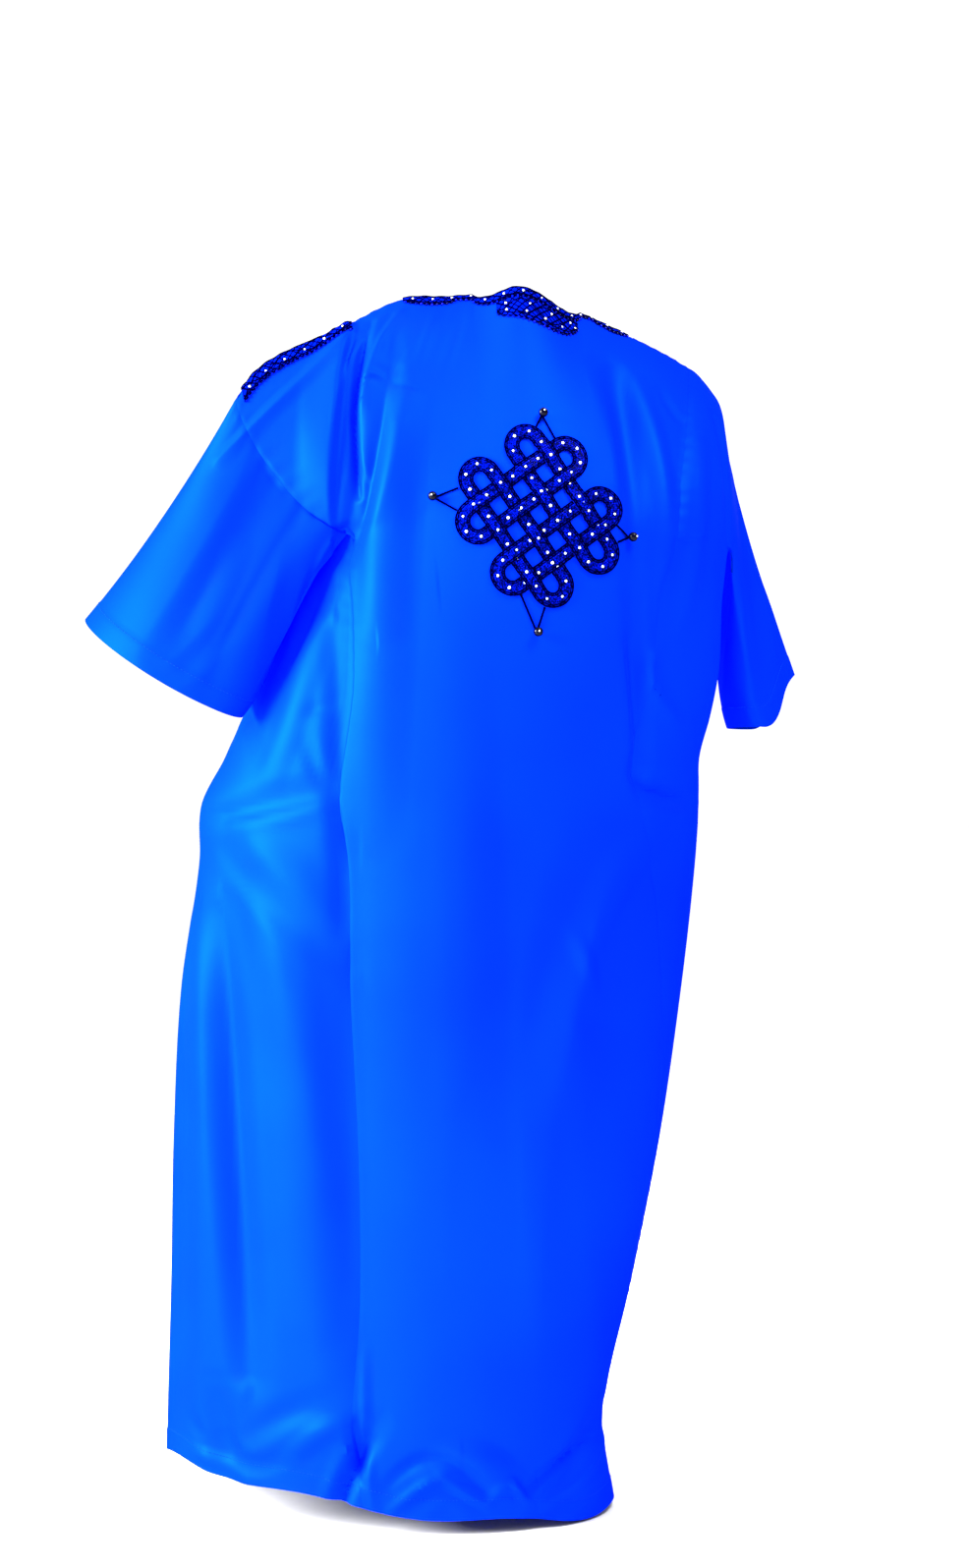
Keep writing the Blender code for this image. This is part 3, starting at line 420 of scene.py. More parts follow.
def sleeve_tube(side, loop, turn):
    """A cubic from each point of the armhole loop to the cuff oval, centre + top cos(turn) + near sin(turn)."""
    cuff = {name: np.array(value) for name, value in CUFFS[side].items()}
    angle = np.radians(turn)[:, None]
    s, c = np.sin(angle), np.cos(angle)
    end = cuff["centre"] + cuff["top"] * c + cuff["near"] * np.sign(s) * np.abs(s) ** CUFF_PINCH
    end[:, 2] += cuff["corner"] * np.clip(c[:, 0], 0, 1) ** CORNER_NARROW
    end[:, 0] += cuff["point"] * np.clip(c[:, 0], 0, 1) ** POINT_NARROW
    f = np.linspace(0, 1, ROWS_SLEEVE + 1)[:, None, None]
    leave = cuff["leave"] * (1 + c) / 2 + cuff["under"] * (1 - c) / 2
    leave = leave + cuff["slack"] * (1 - c) * np.clip(0.5 - 2 * s, 0, 1)
    return hermite(f, loop, (end - loop) * SLEEVE_STEER + leave, end, cuff["reach"] + 0 * loop)


# %% [markdown]
# ## One skin, cut into its pieces
#
# The real dress is cut flat and sewn, so neighbouring pieces share their seam lines. Here every
# piece is a grid of points, and the grids share the points along a seam. That keeps the cloth
# closed where it is sewn, while the neck, the cuffs and the hem stay open. Each grid also says
# which of its sides are seams and which are open hems, because sewing shows on the surface.

# %% The grids of the skin
ROWS_ABOVE, ROWS_BELOW, ROWS_SLEEVE = 112, 164, 72
GORE_LEFT_COLUMNS, GORE_RIGHT_COLUMNS = 72, 30
# The part of a sleeve's turn that lies under the arm, in degrees.
UNDER_TURN = (165, 195)
# Rows of the skirt stand this much closer at the hem and the underarm than an even spacing.
HEM_CLOSER = 0.30


def skin():
    """Every grid as (piece, places, facing, sides that are seams, sides that are hems)."""
    full = columns_between(0, 4)
    panel, band = columns_between(1, 4), columns_between(0, 1)
    above = np.linspace(0, 1, ROWS_ABOVE + 1)
    even = np.linspace(0, 1, ROWS_BELOW + 1)
    below = even - HEM_CLOSER * np.sin(2 * math.pi * even) / (2 * math.pi)
    back = above_underarm(full[None, :], above[:, None], "back")
    front = above_underarm(full[None, :], above[:, None], "front")
    n = len(band) - 1
    back_angle, front_angle = STATIONS["back_angle"], STATIONS["front_angle"]
    side_right = np.concatenate([hang_angle(band, "front")[::-1][:-1],
                                 np.linspace(front_angle[0], back_angle[0] + 360, GORE_RIGHT_COLUMNS + 1)[:-1],
                                 hang_angle(band, "back") + 360])
    side_left = np.linspace(back_angle[-1], front_angle[-1], GORE_LEFT_COLUMNS + 1)
    gore_left = below_underarm(side_left, below, ("back_left", "front_left"))
    gore_right = below_underarm(side_right, below, ("front_right", "back_right"))
    under = gore_right[-1, n:n + GORE_RIGHT_COLUMNS + 1]
    loops = {
        "left": np.concatenate([back[::-1, -1][:-1], gore_left[-1, :-1], front[:-1, -1]]),
        "right": np.concatenate([back[::-1, 0][:-1], under[::-1][:-1], front[:-1, 0]]),
    }
    grids = [
        ("back_panel", back[:, n:], True, "first last top", ""),
        ("front_panel", front[:, n:], False, "first last top", ""),
        ("sleeve_right", back[:, :n + 1], True, "last", ""),
        ("sleeve_right", front[:, :n + 1], False, "last bottom", ""),
        ("back_panel", below_underarm(hang_angle(panel, "back"), below, ("back_right", "back_left")), True,
         "first last", "bottom"),
        ("front_panel", below_underarm(hang_angle(panel, "front"), below, ("front_right", "front_left")), False,
         "first last", "bottom"),
        ("gore_left", gore_left, True, "first last top", "bottom"),
        ("gore_right", gore_right, True, "first last", "bottom"),
    ]
    for side, count in (("left", GORE_LEFT_COLUMNS), ("right", GORE_RIGHT_COLUMNS)):
        turn = np.concatenate([np.linspace(0, UNDER_TURN[0], ROWS_ABOVE + 1)[:-1],
                               np.linspace(*UNDER_TURN, count + 1)[:-1],
                               np.linspace(UNDER_TURN[1], 360, ROWS_ABOVE + 1)])
        loop = np.concatenate([loops[side], loops[side][:1]])
        grids.append(("sleeve_" + side, sleeve_tube(side, loop, turn), side == "left",
                      "bottom" if side == "left" else "", "top"))
    return grids


def arc(points, axis):
    """Running length along a path, or along axis 0 or 1 of a grid, from its start."""
    step = np.linalg.norm(np.diff(points, axis=axis), axis=-1)
    first = np.zeros_like(step[:1] if axis == 0 else step[:, :1])
    return np.concatenate([first, np.cumsum(step, axis=axis)], axis)


def from_sides(points, sides):
    """Distance of each grid point from the nearest of the named sides, and how far along that side it lies."""
    down, along = arc(points, 0), arc(points, 1)
    reach = {"bottom": (down, along), "top": (down[-1:] - down, along),
             "first": (along, down), "last": (along[:, -1:] - along, down)}
    best, place = np.full(points.shape[:2], 1.0), np.zeros(points.shape[:2])
    for side in sides.split():
        distance, run = reach[side]
        place = np.where(distance < best, run, place)
        best = np.minimum(best, distance)
    return best, place


grids = skin()
print("grids:", [(piece, points.shape[:2]) for piece, points, *_ in grids])

# %% [markdown]
# ## Folds and creases
#
# Satin falls in long soft folds and breaks into short sharp creases where it is pulled. The wide
# folds follow the solids' and are reshaped where the photo's light shows it. The finer creases are
# listed one by one in a second table. Each is a curve through three places on the layout, with its
# reach to the left and the right and its height, all in millimetres, and a roundness: 2 is a soft
# swell and 1 a sharp edge. Hidden sides get similar ones.

# %% Table of folds
def fold_table(text):
    """A table of folds, with its lengths turned from millimetres to metres."""
    folds = table(text)
    for name in ("x1", "z1", "x2", "z2", "x3", "z3", "left", "right", "height"):
        folds[name] = [value / 1000 for value in folds[name]]
    return folds


FOLDS = fold_table("""
fold                x1    z1   x2    z2   x3    z3 left right height round piece
shoulder_ridge    -150  -104 -160  -229 -180  -600   44    55      9     2 back_panel
shoulder_valley   -205   -65 -205  -150 -200  -240   45    42     -8     2 back_panel
right_valley        98   -73  128  -157  150  -300   30    26     -8     2 back_panel
side_band          204  -120  190  -270  154  -480   26    30      6     2 sleeve_right
side_pull          139  -560  172  -571  202  -579   20    30     -7     2 gore_right
long_fold          195  -601   48  -739   65 -1269   45    30     -3     2 back_panel
hand_crease       -354  -598 -282  -576 -211  -562   22    16     -4     2 gore_left
hand_bulge        -340  -628 -270  -662 -226  -750   36    40      3     2 gore_left
hand_trough       -352  -650 -290  -800 -235 -1100   34    34     -3     2 gore_left
under_sleeve      -219  -316 -258  -383 -309  -467   30    30     -9     2 gore_left
gore_far_swell    -248  -375 -275  -430 -325  -510   40    40     18     2 gore_left
back_ridge        -144  -300 -149  -759 -133 -1328   40    50      2     2 back_panel
back_valley         14  -453  -13  -781    9 -1263   60    60     -1     2 back_panel
gore_ridge        -367  -720 -360 -1000 -366 -1282   26    65      6     2 gore_left
hem_dip           -349 -1250 -343 -1315 -333 -1380   26    26     -8     2 gore_left
hem_arc           -320 -1338 -240 -1290 -182 -1315   26    34      4     2 gore_left
hem_tuck          -212 -1395 -199 -1332 -170 -1280   26    30    -12     2 back_panel
hem_peak          -101 -1333  -57 -1322  -18 -1353   30    30      7     2 back_panel
hem_crease          16 -1400   50 -1350   91 -1290   24    24     -9     2 back_panel
front_left_fold   -120  -260 -150  -700 -180 -1390   45    45     11     2 front_panel
front_mid_fold     -30  -240  -40  -700 -110 -1390   40    50    -10     2 front_panel
front_right_fold    70  -250   60  -650  -20 -1390   45    40     11     2 front_panel
front_side_fold    150  -300  130  -650   40 -1390   35    35    -10     2 front_panel
front_bust_left   -230  -200 -150  -260  -60  -270   30    35     -8     2 front_panel
front_bust_right   190  -190  130  -250   60  -270   30    30     -7     2 front_panel
gore_front_pull   -350  -610 -290  -700 -240  -900   30    35    -10     2 gore_left
gore_right_fold    195  -620  150  -900   70 -1390   35    35      9     2 gore_right
sleeve_fold_left  -260  -160 -330  -300 -400  -420   35    40     -8     2 sleeve_left
sleeve_drag_left  -220  -250 -280  -350 -330  -470   30    35      8     2 sleeve_left
sleeve_fold_right  275  -200  285  -330  290  -490   24    24     -6     2 sleeve_right
""")
# Folds on the front of the garment: on the front panel and on the gores' front halves.
FAR_FOLDS = ("front_", "gore_front", "gore_far", "gore_right_fold", "far_")
# Each fold is laid along this many places, fades to this power of a sine at its ends, and shows on the
# side of the cloth that faces its way.
FOLD_PLACES = 25
FOLD_FADE, FADE_FROM, FADE_SHARE = 0.6, 0.05, 0.9
FACING_SLOPE, FACING_FROM = 2.5, 0.4
print("folds:", len(FOLDS["fold"]))

# %% Table of creases
CREASES = fold_table("""
fold               x1    z1   x2    z2   x3    z3 left right height round piece
drag_line        -204   -51 -270  -116 -346  -191   10    16      4   1.3 back_panel/sleeve_left
arm_ridge        -197   -32 -214  -137 -217  -275   45     9     13   1.5 back_panel/sleeve_left
arm_line         -163   -24 -203   -96 -211  -194    6    16      4   1.3 back_panel
arm_valley       -173   -30 -190  -120 -188  -235    9     8    -10   1.5 back_panel
wedge            -184  -140 -190  -212 -203  -285   12    14     -7   1.6 back_panel
pocket_edge      -143   -18 -182  -113 -176  -213    7    16    6.5   1.3 back_panel
pocket_valley    -154   -94 -168  -203 -198  -300   22    26    -17   1.3 back_panel/gore_left
pocket_brow      -185  -100 -169   -93 -153  -102    7     7      3   1.3 back_panel
ridge_start      -142  -110 -154  -209 -160  -380   26    40      7     2 back_panel
up_left          -153   -31 -147   -80 -140  -140   14    20   -2.5     2 back_panel
nape_pull         -69   -14  -78   -49  -91   -92   12    12   -1.8     2 back_panel
nape_pull_light  -100   -20 -109   -49 -120   -80   10    12    1.8     2 back_panel
sleeve_soft      -334  -385 -362  -416 -389  -440   20    20   -2.5     2 sleeve_left
sleeve_light     -320  -294 -344  -351 -368  -396   22    20      3     2 sleeve_left
sleeve_drop      -258  -295 -273  -362 -294  -440   16    20     -3     2 sleeve_left
side_swell       -236  -300 -256  -352 -279  -413   22    16      7     2 gore_left
far_side_swell   -236  -300 -256  -352 -279  -413   22    22      8     2 gore_left
under_fold       -231  -313 -245  -344 -254  -383   10    10     -6   1.4 sleeve_left
tip_pull         -214  -280 -234  -316 -245  -359    7     7    2.5   1.4 sleeve_left
hand_line        -364  -598 -295  -591 -212  -571   16    14   -3.5   1.8 gore_left
hand_light       -325  -605 -266  -595 -212  -581   14    16      2     2 gore_left
lens             -319  -612 -265  -650 -230  -699   34    34      2     2 gore_left
diagonal         -339  -618 -298  -678 -200  -760   24    36   -4.5     2 back_panel/gore_left
seam_turn        -211  -385 -207  -562 -200  -726   20   120     -8   1.3 back_panel/gore_left
seam_valley      -202  -660 -192  -946 -181 -1269   50   120    -13   1.3 back_panel/gore_left
gore_crest       -300  -662 -262  -849 -240 -1159   40    50      8     2 gore_left
gore_dip         -345  -709 -335  -930 -314 -1230   28    45    -22   1.5 gore_left
panel_swell       -90  -387  -68  -780  -68 -1269   90    60      5     2 back_panel
side_edge         127  -651   67  -783   40  -905   50    55      9   1.4 back_panel/gore_right
side_edge_low      53  -820   23 -1030   19 -1310  100   120     16   1.5 back_panel/gore_right
seam_patch       -242  -515 -230  -546 -216  -569   14    14   -3.5     2 gore_left/back_panel
mid_patch        -311  -467 -309  -495 -300  -527   16    18     -4     2 gore_left
bright_band      -234  -384 -256  -474 -284  -551   22    22    4.5     2 gore_left
seam_dent        -242  -478 -231  -476 -213  -472   12    10   -2.5   1.8 gore_left
right_v           111   -80  126  -191  127  -351   22    18     -8     2 back_panel
right_v_low       127  -351  132  -440  138  -529   18    14   -7.5   1.8 back_panel/gore_right
right_band        135   -92  161  -213  162  -338   16    18      6     2 back_panel/sleeve_right
right_dark        164   -94  176  -119  192  -140   10    10     -3   1.5 back_panel/sleeve_right
right_band_side   206  -155  201  -291  177  -394   14    14    4.5     2 sleeve_right/gore_right
right_line        154  -410  148  -446  180  -492   13    15    6.5   1.5 gore_right/back_panel
right_corner      130  -529  140  -560  202  -576   15    14     -8   1.6 gore_right/back_panel
right_crease      121  -395  134  -470  135  -570   15    14   -7.5   1.6 back_panel/gore_right
side_dark         231  -115  244  -176  245  -284   10     6     -5   1.5 sleeve_right
sleeve_far_dark   252  -328  255  -387  268  -452   14    14     -3     2 sleeve_right
sleeve_far_light  294  -324  300  -372  308  -421   12    12      2     2 sleeve_right
diagonal_fold     203  -597  121  -696   67  -816   22    32     -6   1.9 back_panel/gore_right
diagonal_small     57  -728   67  -755   76  -789   14    14      3   1.8 back_panel
arc_dip          -341 -1312 -310 -1335 -270 -1320   18    18     -4     2 gore_left
arc_ridge        -262 -1322 -212 -1282 -180 -1300   16    20      5   1.8 back_panel/gore_left
arc_shade        -301 -1305 -256 -1268 -206 -1250   22    20   -2.5     2 gore_left
hem_v            -174 -1300 -193 -1343 -210 -1390   18    13    -13   1.4 gore_left/back_panel
hem_v_light      -225 -1376 -212 -1337 -199 -1309   10    12      3   1.6 gore_left
seam_edge        -179 -1201 -178 -1289 -168 -1374    8    14      3   1.5 back_panel
peak_one         -147 -1376 -114 -1350  -90 -1339   11    11      6   1.5 back_panel
peak_two          -90 -1339  -64 -1357  -38 -1371   11    11      6   1.5 back_panel
peak_three        -38 -1371  -16 -1351   -1 -1369   10    10      5   1.5 back_panel
peak_four         -13 -1350   -4 -1360    7 -1371    8     8      5   1.4 back_panel
peak_shade       -150 -1348  -97 -1319  -40 -1356   12    14   -6.5   1.6 back_panel
hem_right          -1 -1364   43 -1334  100 -1317   16    12   -8.5   1.4 back_panel/gore_right
hem_right_light    28 -1379   65 -1353   96 -1322   14    12      5   1.8 back_panel/gore_right
hem_soft         -112 -1384  -85 -1368  -57 -1386   14    14      2     2 back_panel
left_hem_soft    -381 -1333 -357 -1337 -327 -1348   12    12    2.5     2 gore_left
left_hem_dip     -381 -1291 -368 -1313 -348 -1334   14    13     -2   1.8 gore_left
far_drag_left    -330  -180 -255  -150 -190  -100   14    11    3.5   1.3 front_panel/sleeve_left
far_drag_low     -320  -280 -250  -250 -150  -215   14    14     -4   1.5 front_panel/sleeve_left
far_bust_line    -185  -300 -160  -420 -170  -610   14    20     -4   1.6 front_panel
far_middle        -60  -330  -45  -520  -85  -760   18    22    3.5   1.8 front_panel
far_right_line    105  -330   85  -520   40  -740   16    12   -4.2   1.5 front_panel
far_drag_right    215  -120  165  -160  105  -190   12    10      3   1.3 front_panel/sleeve_right
far_neck_pull     -55  -125  -70  -190  -90  -260   12    14   -2.5   1.8 front_panel
far_neck_right     45  -115   60  -180   82  -240   12    12    2.2   1.8 front_panel
far_low_left     -210  -800 -235 -1020 -250 -1300   20    24    4.5   1.8 front_panel
far_low_mid       -95  -860 -120 -1080 -150 -1370   22    18   -4.5   1.7 front_panel
far_low_right      10  -840  -15 -1090  -60 -1370   20    22      4   1.8 front_panel
far_hem_one      -250 -1378 -215 -1345 -170 -1372   12    12    4.5   1.4 front_panel
far_hem_two      -140 -1380 -105 -1335  -60 -1378   12    14     -5   1.4 front_panel
far_hem_three     -40 -1365   -5 -1345   30 -1375   11    10    3.5   1.5 front_panel
far_hand_line    -345  -600 -290  -610 -225  -560    9    10     -4   1.2 front_panel/gore_left
far_hand_low     -340  -625 -290  -700 -215  -800   14    18      4   1.6 front_panel/gore_left
far_side_fold     175  -430  150  -640   85  -880   18    16   -4.5   1.6 front_panel/gore_right
""")
print("creases:", len(CREASES["fold"]))


# %% Raise the folds
def fold_heights(folds, points, normals, piece):
    """Sum of a piece's folds: height x (1 - distance^round)^2 x a sine fade to both ends, on the side it faces."""
    total, last = np.zeros(len(points)), FOLD_PLACES - 1
    t = np.linspace(0, 1, FOLD_PLACES)[:, None]
    for k, name in enumerate(folds["fold"]):
        if piece not in folds["piece"][k].split("/"):
            continue
        ends = [np.array([folds["x" + n][k], folds["z" + n][k]]) for n in "123"]
        path = (1 - t) ** 2 * ends[0] + 2 * t * (1 - t) * (2 * ends[1] - (ends[0] + ends[2]) / 2) + t * t * ends[2]
        reach = max(folds["left"][k], folds["right"][k])
        flat = points[:, [0, 2]]
        close = np.flatnonzero(((flat > path.min(0) - reach) & (flat < path.max(0) + reach)).all(1))
        apart = flat[close, None] - path[None]
        near = np.argmin((apart ** 2).sum(-1), axis=1)
        apart = apart[np.arange(len(close)), near]
        along = np.gradient(path, axis=0)[near]
        step = np.linalg.norm(along, axis=1)
        along = along / step[:, None]
        right_of = along[:, 1] * apart[:, 0] - along[:, 0] * apart[:, 1]
        beyond = (along * apart).sum(1)
        past_end = np.where(near == 0, np.maximum(-beyond, 0), np.where(near == last, np.maximum(beyond, 0), 0))
        downward = np.where(path[-1, 1] < path[0, 1], -1.0, 1.0)
        width = np.where(right_of * downward > 0, folds["right"][k], folds["left"][k])
        distance = np.hypot(right_of, past_end) / width
        share = np.clip((near + beyond / step) / last, 0, 1)
        fade = np.sin(math.pi * (share * FADE_SHARE + FADE_FROM)) ** FOLD_FADE
        slope = FACING_SLOPE if name.startswith(FAR_FOLDS) else -FACING_SLOPE
        facing = np.clip(normals[close, 1] * slope + FACING_FROM, 0, 1)
        swell = np.clip(1 - distance ** folds["round"][k], 0, 1) ** 2
        total[close] += folds["height"][k] * swell * fade * facing
    return total


# %% [markdown]
# ## Welding the grids, and what sewing does to them
#
# A seam pulls its cloth into a narrow groove and puckers it a little, because thread tightens more
# than satin does. A hem is two layers, so it stands a fraction of a millimetre proud, and ends in a
# small step at its line of stitches. Both are small heights that depend on the distance from a
# side, and they are added to the folds before the wall is made.

# %% Weld, fold and sew
# Points that round to the same place, with this many steps to a metre, are welded into one.
WELDS_PER_METRE = 2e4
SEAM_GROOVE, SEAM_WIDTH = 0.0005, 0.0022
PUCKER, PUCKER_PITCH, PUCKER_REACH = 0.00045, 0.019, 0.012
# Puckers aren't evenly spaced: their place sways this far, this many times a metre.
PUCKER_SWAY, PUCKER_SWAYS = 2, 23
HEM_DEPTH, HEM_STEP, HEM_EDGE = 0.025, 0.0006, 0.003


def corner_normals(points, cells):
    """Unit normal at each welded point: the sum of its faces' normals, each as large as its face."""
    a, b, c, d = (points[cells[:, k]] for k in range(4))
    faces, total = np.cross(c - a, d - b), np.zeros_like(points)
    for k in range(4):
        np.add.at(total, cells[:, k], faces)
    return unit(total)


def sewn_height(from_seam, along_seam, from_hem):
    """Groove and pucker beside a seam, exp(-(d/width)^2) deep, and the raised double layer of a hem."""
    groove = -SEAM_GROOVE * np.exp(-(from_seam / SEAM_WIDTH) ** 2)
    sway = PUCKER_SWAY * np.sin(along_seam * PUCKER_SWAYS)
    pucker = PUCKER * np.sin(2 * math.pi * along_seam / PUCKER_PITCH + sway)
    hem = HEM_STEP * np.clip((HEM_DEPTH - from_hem) / HEM_EDGE + 0.5, 0, 1)
    return groove + pucker * np.exp(-from_seam / PUCKER_REACH) + hem


def relaxed(points, cells, rounds=60, reach=0.055):
    """Lets the cloth near the underarm settle: each point moves halfway to the mean of its neighbours."""
    edges = edges_of(cells)
    count = np.bincount(edges[:, 0], minlength=len(points)) + np.bincount(edges[:, 1], minlength=len(points))
    share = 0.5 * np.clip(1 - ((points[:, 2] - UNDERARM) / reach) ** 2, 0, 1) * (count > 0)
    share[rim_edges(edges)] = 0
    for _ in range(rounds):
        mean = np.stack([np.bincount(edges[:, 0], points[edges[:, 1], k], len(points))
                         + np.bincount(edges[:, 1], points[edges[:, 0], k], len(points)) for k in range(3)], -1)
        points = points + (mean / np.maximum(count, 1)[:, None] - points) * share[:, None]
    return points


def weld(points):
    """Each point's number once those at the same place are one, and the first of each."""
    _, first, index = np.unique(np.round(points * WELDS_PER_METRE).astype(np.int64), axis=0,
                                return_index=True, return_inverse=True)
    return index.reshape(-1), first


flat = np.concatenate([points.reshape(-1, 3) for _, points, *_ in grids])
index, first = weld(flat)
cloth, cells_of, numbers, start = flat[first], {}, [], 0
sewn, shares, to_seam = np.zeros(len(cloth)), np.zeros(len(cloth)), np.ones(len(cloth))
for piece, points, flip, seams, hems in grids:
    rows, columns = points.shape[:2]
    number = index[start:start + rows * columns]
    start += rows * columns
    cells = number[quads(rows, columns, flip)]
    cells_of[piece] = np.concatenate([cells_of.get(piece, np.zeros((0, 4), int)), cells])
    numbers.append(number.reshape(rows, columns))
    (from_seam, along_seam), (from_hem, _) = from_sides(points, seams), from_sides(points, hems)
    np.add.at(sewn, number, sewn_height(from_seam, along_seam, from_hem).ravel())
    np.add.at(shares, number, 1)
    np.minimum.at(to_seam, number, from_seam.ravel())
every = np.concatenate(list(cells_of.values()))
cloth = relaxed(cloth, np.concatenate([cells for piece, cells in cells_of.items() if piece != "sleeve_left"]))
normals = corner_normals(cloth, every)
height, pieces_there = np.zeros(len(cloth)), np.zeros(len(cloth))
for piece, cells in cells_of.items():
    used = np.unique(cells)
    height[used] += sum(fold_heights(folds, cloth[used], normals[used], piece) for folds in (FOLDS, CREASES))
    pieces_there[used] += 1
cloth = cloth + normals * (height / pieces_there + sewn / shares)[:, None]
normals = corner_normals(cloth, every)
print("welded points:", len(cloth), "deepest fold (mm):", round(float(height.min()) * 1000, 1))

# %% [markdown]
# ## The satin
#
# Duchess satin is polyester filament woven so that long floats lie side by side on one face. That
# gives a smooth bright face with a broad, coloured sheen along the threads, and a dull reverse.
# Royal blue dye is matched on the lit folds and in their shade. The threads are 0.12 mm apart,
# far below what the render can show, so the weave is drawn at 1.1 mm as a faint bump.

# %% Satin material
FACE_ROUGH, REVERSE_ROUGH = 0.54, 0.75
# How strongly the painted seam shade darkens the base colour, and how far from the seam it reaches.
SEAM_SHADE, SEAM_SHADE_WIDTH = 0.15, 0.0013
satin, tree, shader = new_material("dyed_duchess_satin", Metallic=0.42, Specular_IOR_Level=0.0,
                                   Specular_Tint=linear("#0034ff"))
place = add_node(tree, "ShaderNodeTexCoord").outputs["Object"]
tone = ramp(tree, noise(tree, place, 4.0), (0.30, "#0228ff"), (0.70, "#022fff"))
reverse = attribute(tree, "reverse")
# Painted shade: within 1.3 mm of a seam the base colour darkens towards #0010a0, standing in for the shadow in the
# seam's groove.
shade = mapped(tree, attribute(tree, "from_seam"), 0.0, SEAM_SHADE_WIDTH, SEAM_SHADE, 0.0)
# The numbers 0, 6 and 7 are a Mix node's factor and its two colours.
dull = add_node(tree, "ShaderNodeMix", {0: reverse, 6: tone, 7: linear("#0024a8")}, data_type="RGBA").outputs[2]
dye_and_seam_shade = add_node(tree, "ShaderNodeMix", {0: shade, 6: dull, 7: linear("#0010a0")}, data_type="RGBA")
tree.links.new(dye_and_seam_shade.outputs[2], shader.inputs["Base Color"])
tree.links.new(mapped(tree, reverse, 0.0, 1.0, FACE_ROUGH, REVERSE_ROUGH), shader.inputs["Roughness"])
stretched = add_node(tree, "ShaderNodeMapping", {"Vector": place, "Scale": (1.0, 1.0, 0.12)}).outputs[0]
weave = add_bump(tree, noise(tree, stretched, 900.0, 1.0), Strength=0.10, Distance=0.0004)
soft = add_bump(tree, noise(tree, place, 14.0, 1.0), Strength=0.25, Distance=0.004, Normal=weave)
tree.links.new(soft, shader.inputs["Normal"])
print("satin:", len(tree.nodes), "nodes")

# %% [markdown]
# ## Walls for the cloth
#
# A sheet of cloth has two faces, and a thin wall shows at every open edge. The outer face is the
# welded skin, and the inner face lies one thickness behind it along the normals. The wall closes
# round the rim, so each piece is a closed shell.

# %% Cut and sew the pieces
CLOTH = 0.0012


def walled(points, normals, cells, low, high):
    """Closed shell between two heights along the normals, with a band of faces round the rim."""
    used, local = np.unique(cells, return_inverse=True)
    local = local.reshape(-1, 4)
    rim, n = rim_edges(edges_of(local)), len(used)
    outer, inner = points[used] + normals[used] * high, points[used] + normals[used] * low
    band = np.stack([rim[:, 1], rim[:, 0], rim[:, 0] + n, rim[:, 1] + n], -1)
    return np.concatenate([outer, inner]), [local, local[:, ::-1] + n, band], used


# Flat size of each piece without its allowances: width and length in metres, area in square metres, and
# the pieces that it hangs from.
CUTS = {
    "back_panel": (0.59, 1.49, 0.606, ["front_panel"]),
    "front_panel": (0.58, 1.48, 0.643, ["back_panel"]),
    "gore_left": (0.42, 1.14, 0.406, ["back_panel", "front_panel"]),
    "gore_right": (0.32, 1.17, 0.322, ["back_panel", "front_panel"]),
    "sleeve_left": (0.60, 0.31, 0.140, ["back_panel", "front_panel"]),
    "sleeve_right": (0.53, 0.49, 0.140, ["back_panel", "front_panel"]),
}
for piece, cells in cells_of.items():
    points, faces, used = walled(cloth, normals, cells, -CLOTH, 0.0)
    values = {"from_seam": np.tile(to_seam[used], 2), "reverse": np.repeat([0.0, 1.0], len(used))}
    sheet = add_piece(piece + "_satin", points, faces, satin, piece, smooth_below=50, values=values)
    width, length, area, hung = CUTS[piece]

# %% [markdown]
# ## Paths, cords and small repeated shapes
#
# Lace, braid and beadwork are the same few things many times: a cord along a path, a flat ribbon,
# and a small shape set down again and again. Each is one array expression: a section swept along
# the frames of a path, or a shape multiplied by a list of frames.

# %% Helpers for trims
def frames_along(path, normals, closed=False):
    """Direction, side and up at each point of a path that lies on a surface with these normals."""
    ahead = unit(np.roll(path, -1, 0) - np.roll(path, 1, 0) if closed else np.gradient(path, axis=0))
    side = unit(np.cross(normals, ahead))
    return ahead, side, np.cross(ahead, side)


def cord(path, normals, width, height, around=8, closed=False):
    """Cord on a path: side x width/2 x cos(angle) + up x height/2 x sin(angle) at each point."""
    _, side, up = frames_along(path, normals, closed)
    angle = np.arange(around) / around * 2 * math.pi
    points = (path[:, None] + side[:, None] * (np.cos(angle) * width / 2)[None, :, None]
              + up[:, None] * (np.sin(angle) * height / 2)[None, :, None]).reshape(-1, 3)
    return points, tube_faces(len(path), around, closed)


def turned(profile, around):
    """Small turned shape: rings of radius r at height h, closed by a flat face at both ends."""
    radius, high = np.array(profile).T
    angle = np.arange(around) / around * 2 * math.pi
    points = np.stack([radius[:, None] * np.cos(angle), radius[:, None] * np.sin(angle),
                       high[:, None] + 0 * angle], -1).reshape(-1, 3)
    return points, tube_faces(len(radius), around)


def repeated(shape, places, axes, sizes=1.0):
    """Copies of a shape: place + size x (x ahead + y side + z up) for every place at once."""
    points, faces = shape
    sizes = np.broadcast_to(sizes, len(places))[:, None, None]
    ahead, side, up = (axis[:, None] for axis in axes)
    copies = places[:, None] + sizes * (points[None, :, :1] * ahead + points[None, :, 1:2] * side
                                        + points[None, :, 2:] * up)
    shift = (np.arange(len(places)) * len(points))[:, None, None]
    return copies.reshape(-1, 3), [(group[None] + shift).reshape(-1, group.shape[1]) for group in faces]


def gathered(parts):
    """Several (points, faces) parts as one."""
    points, faces, start = [], [], 0
    for some, groups in parts:
        points.append(some)
        faces += [group + start for group in groups]
        start += len(some)
    return np.concatenate(points), faces


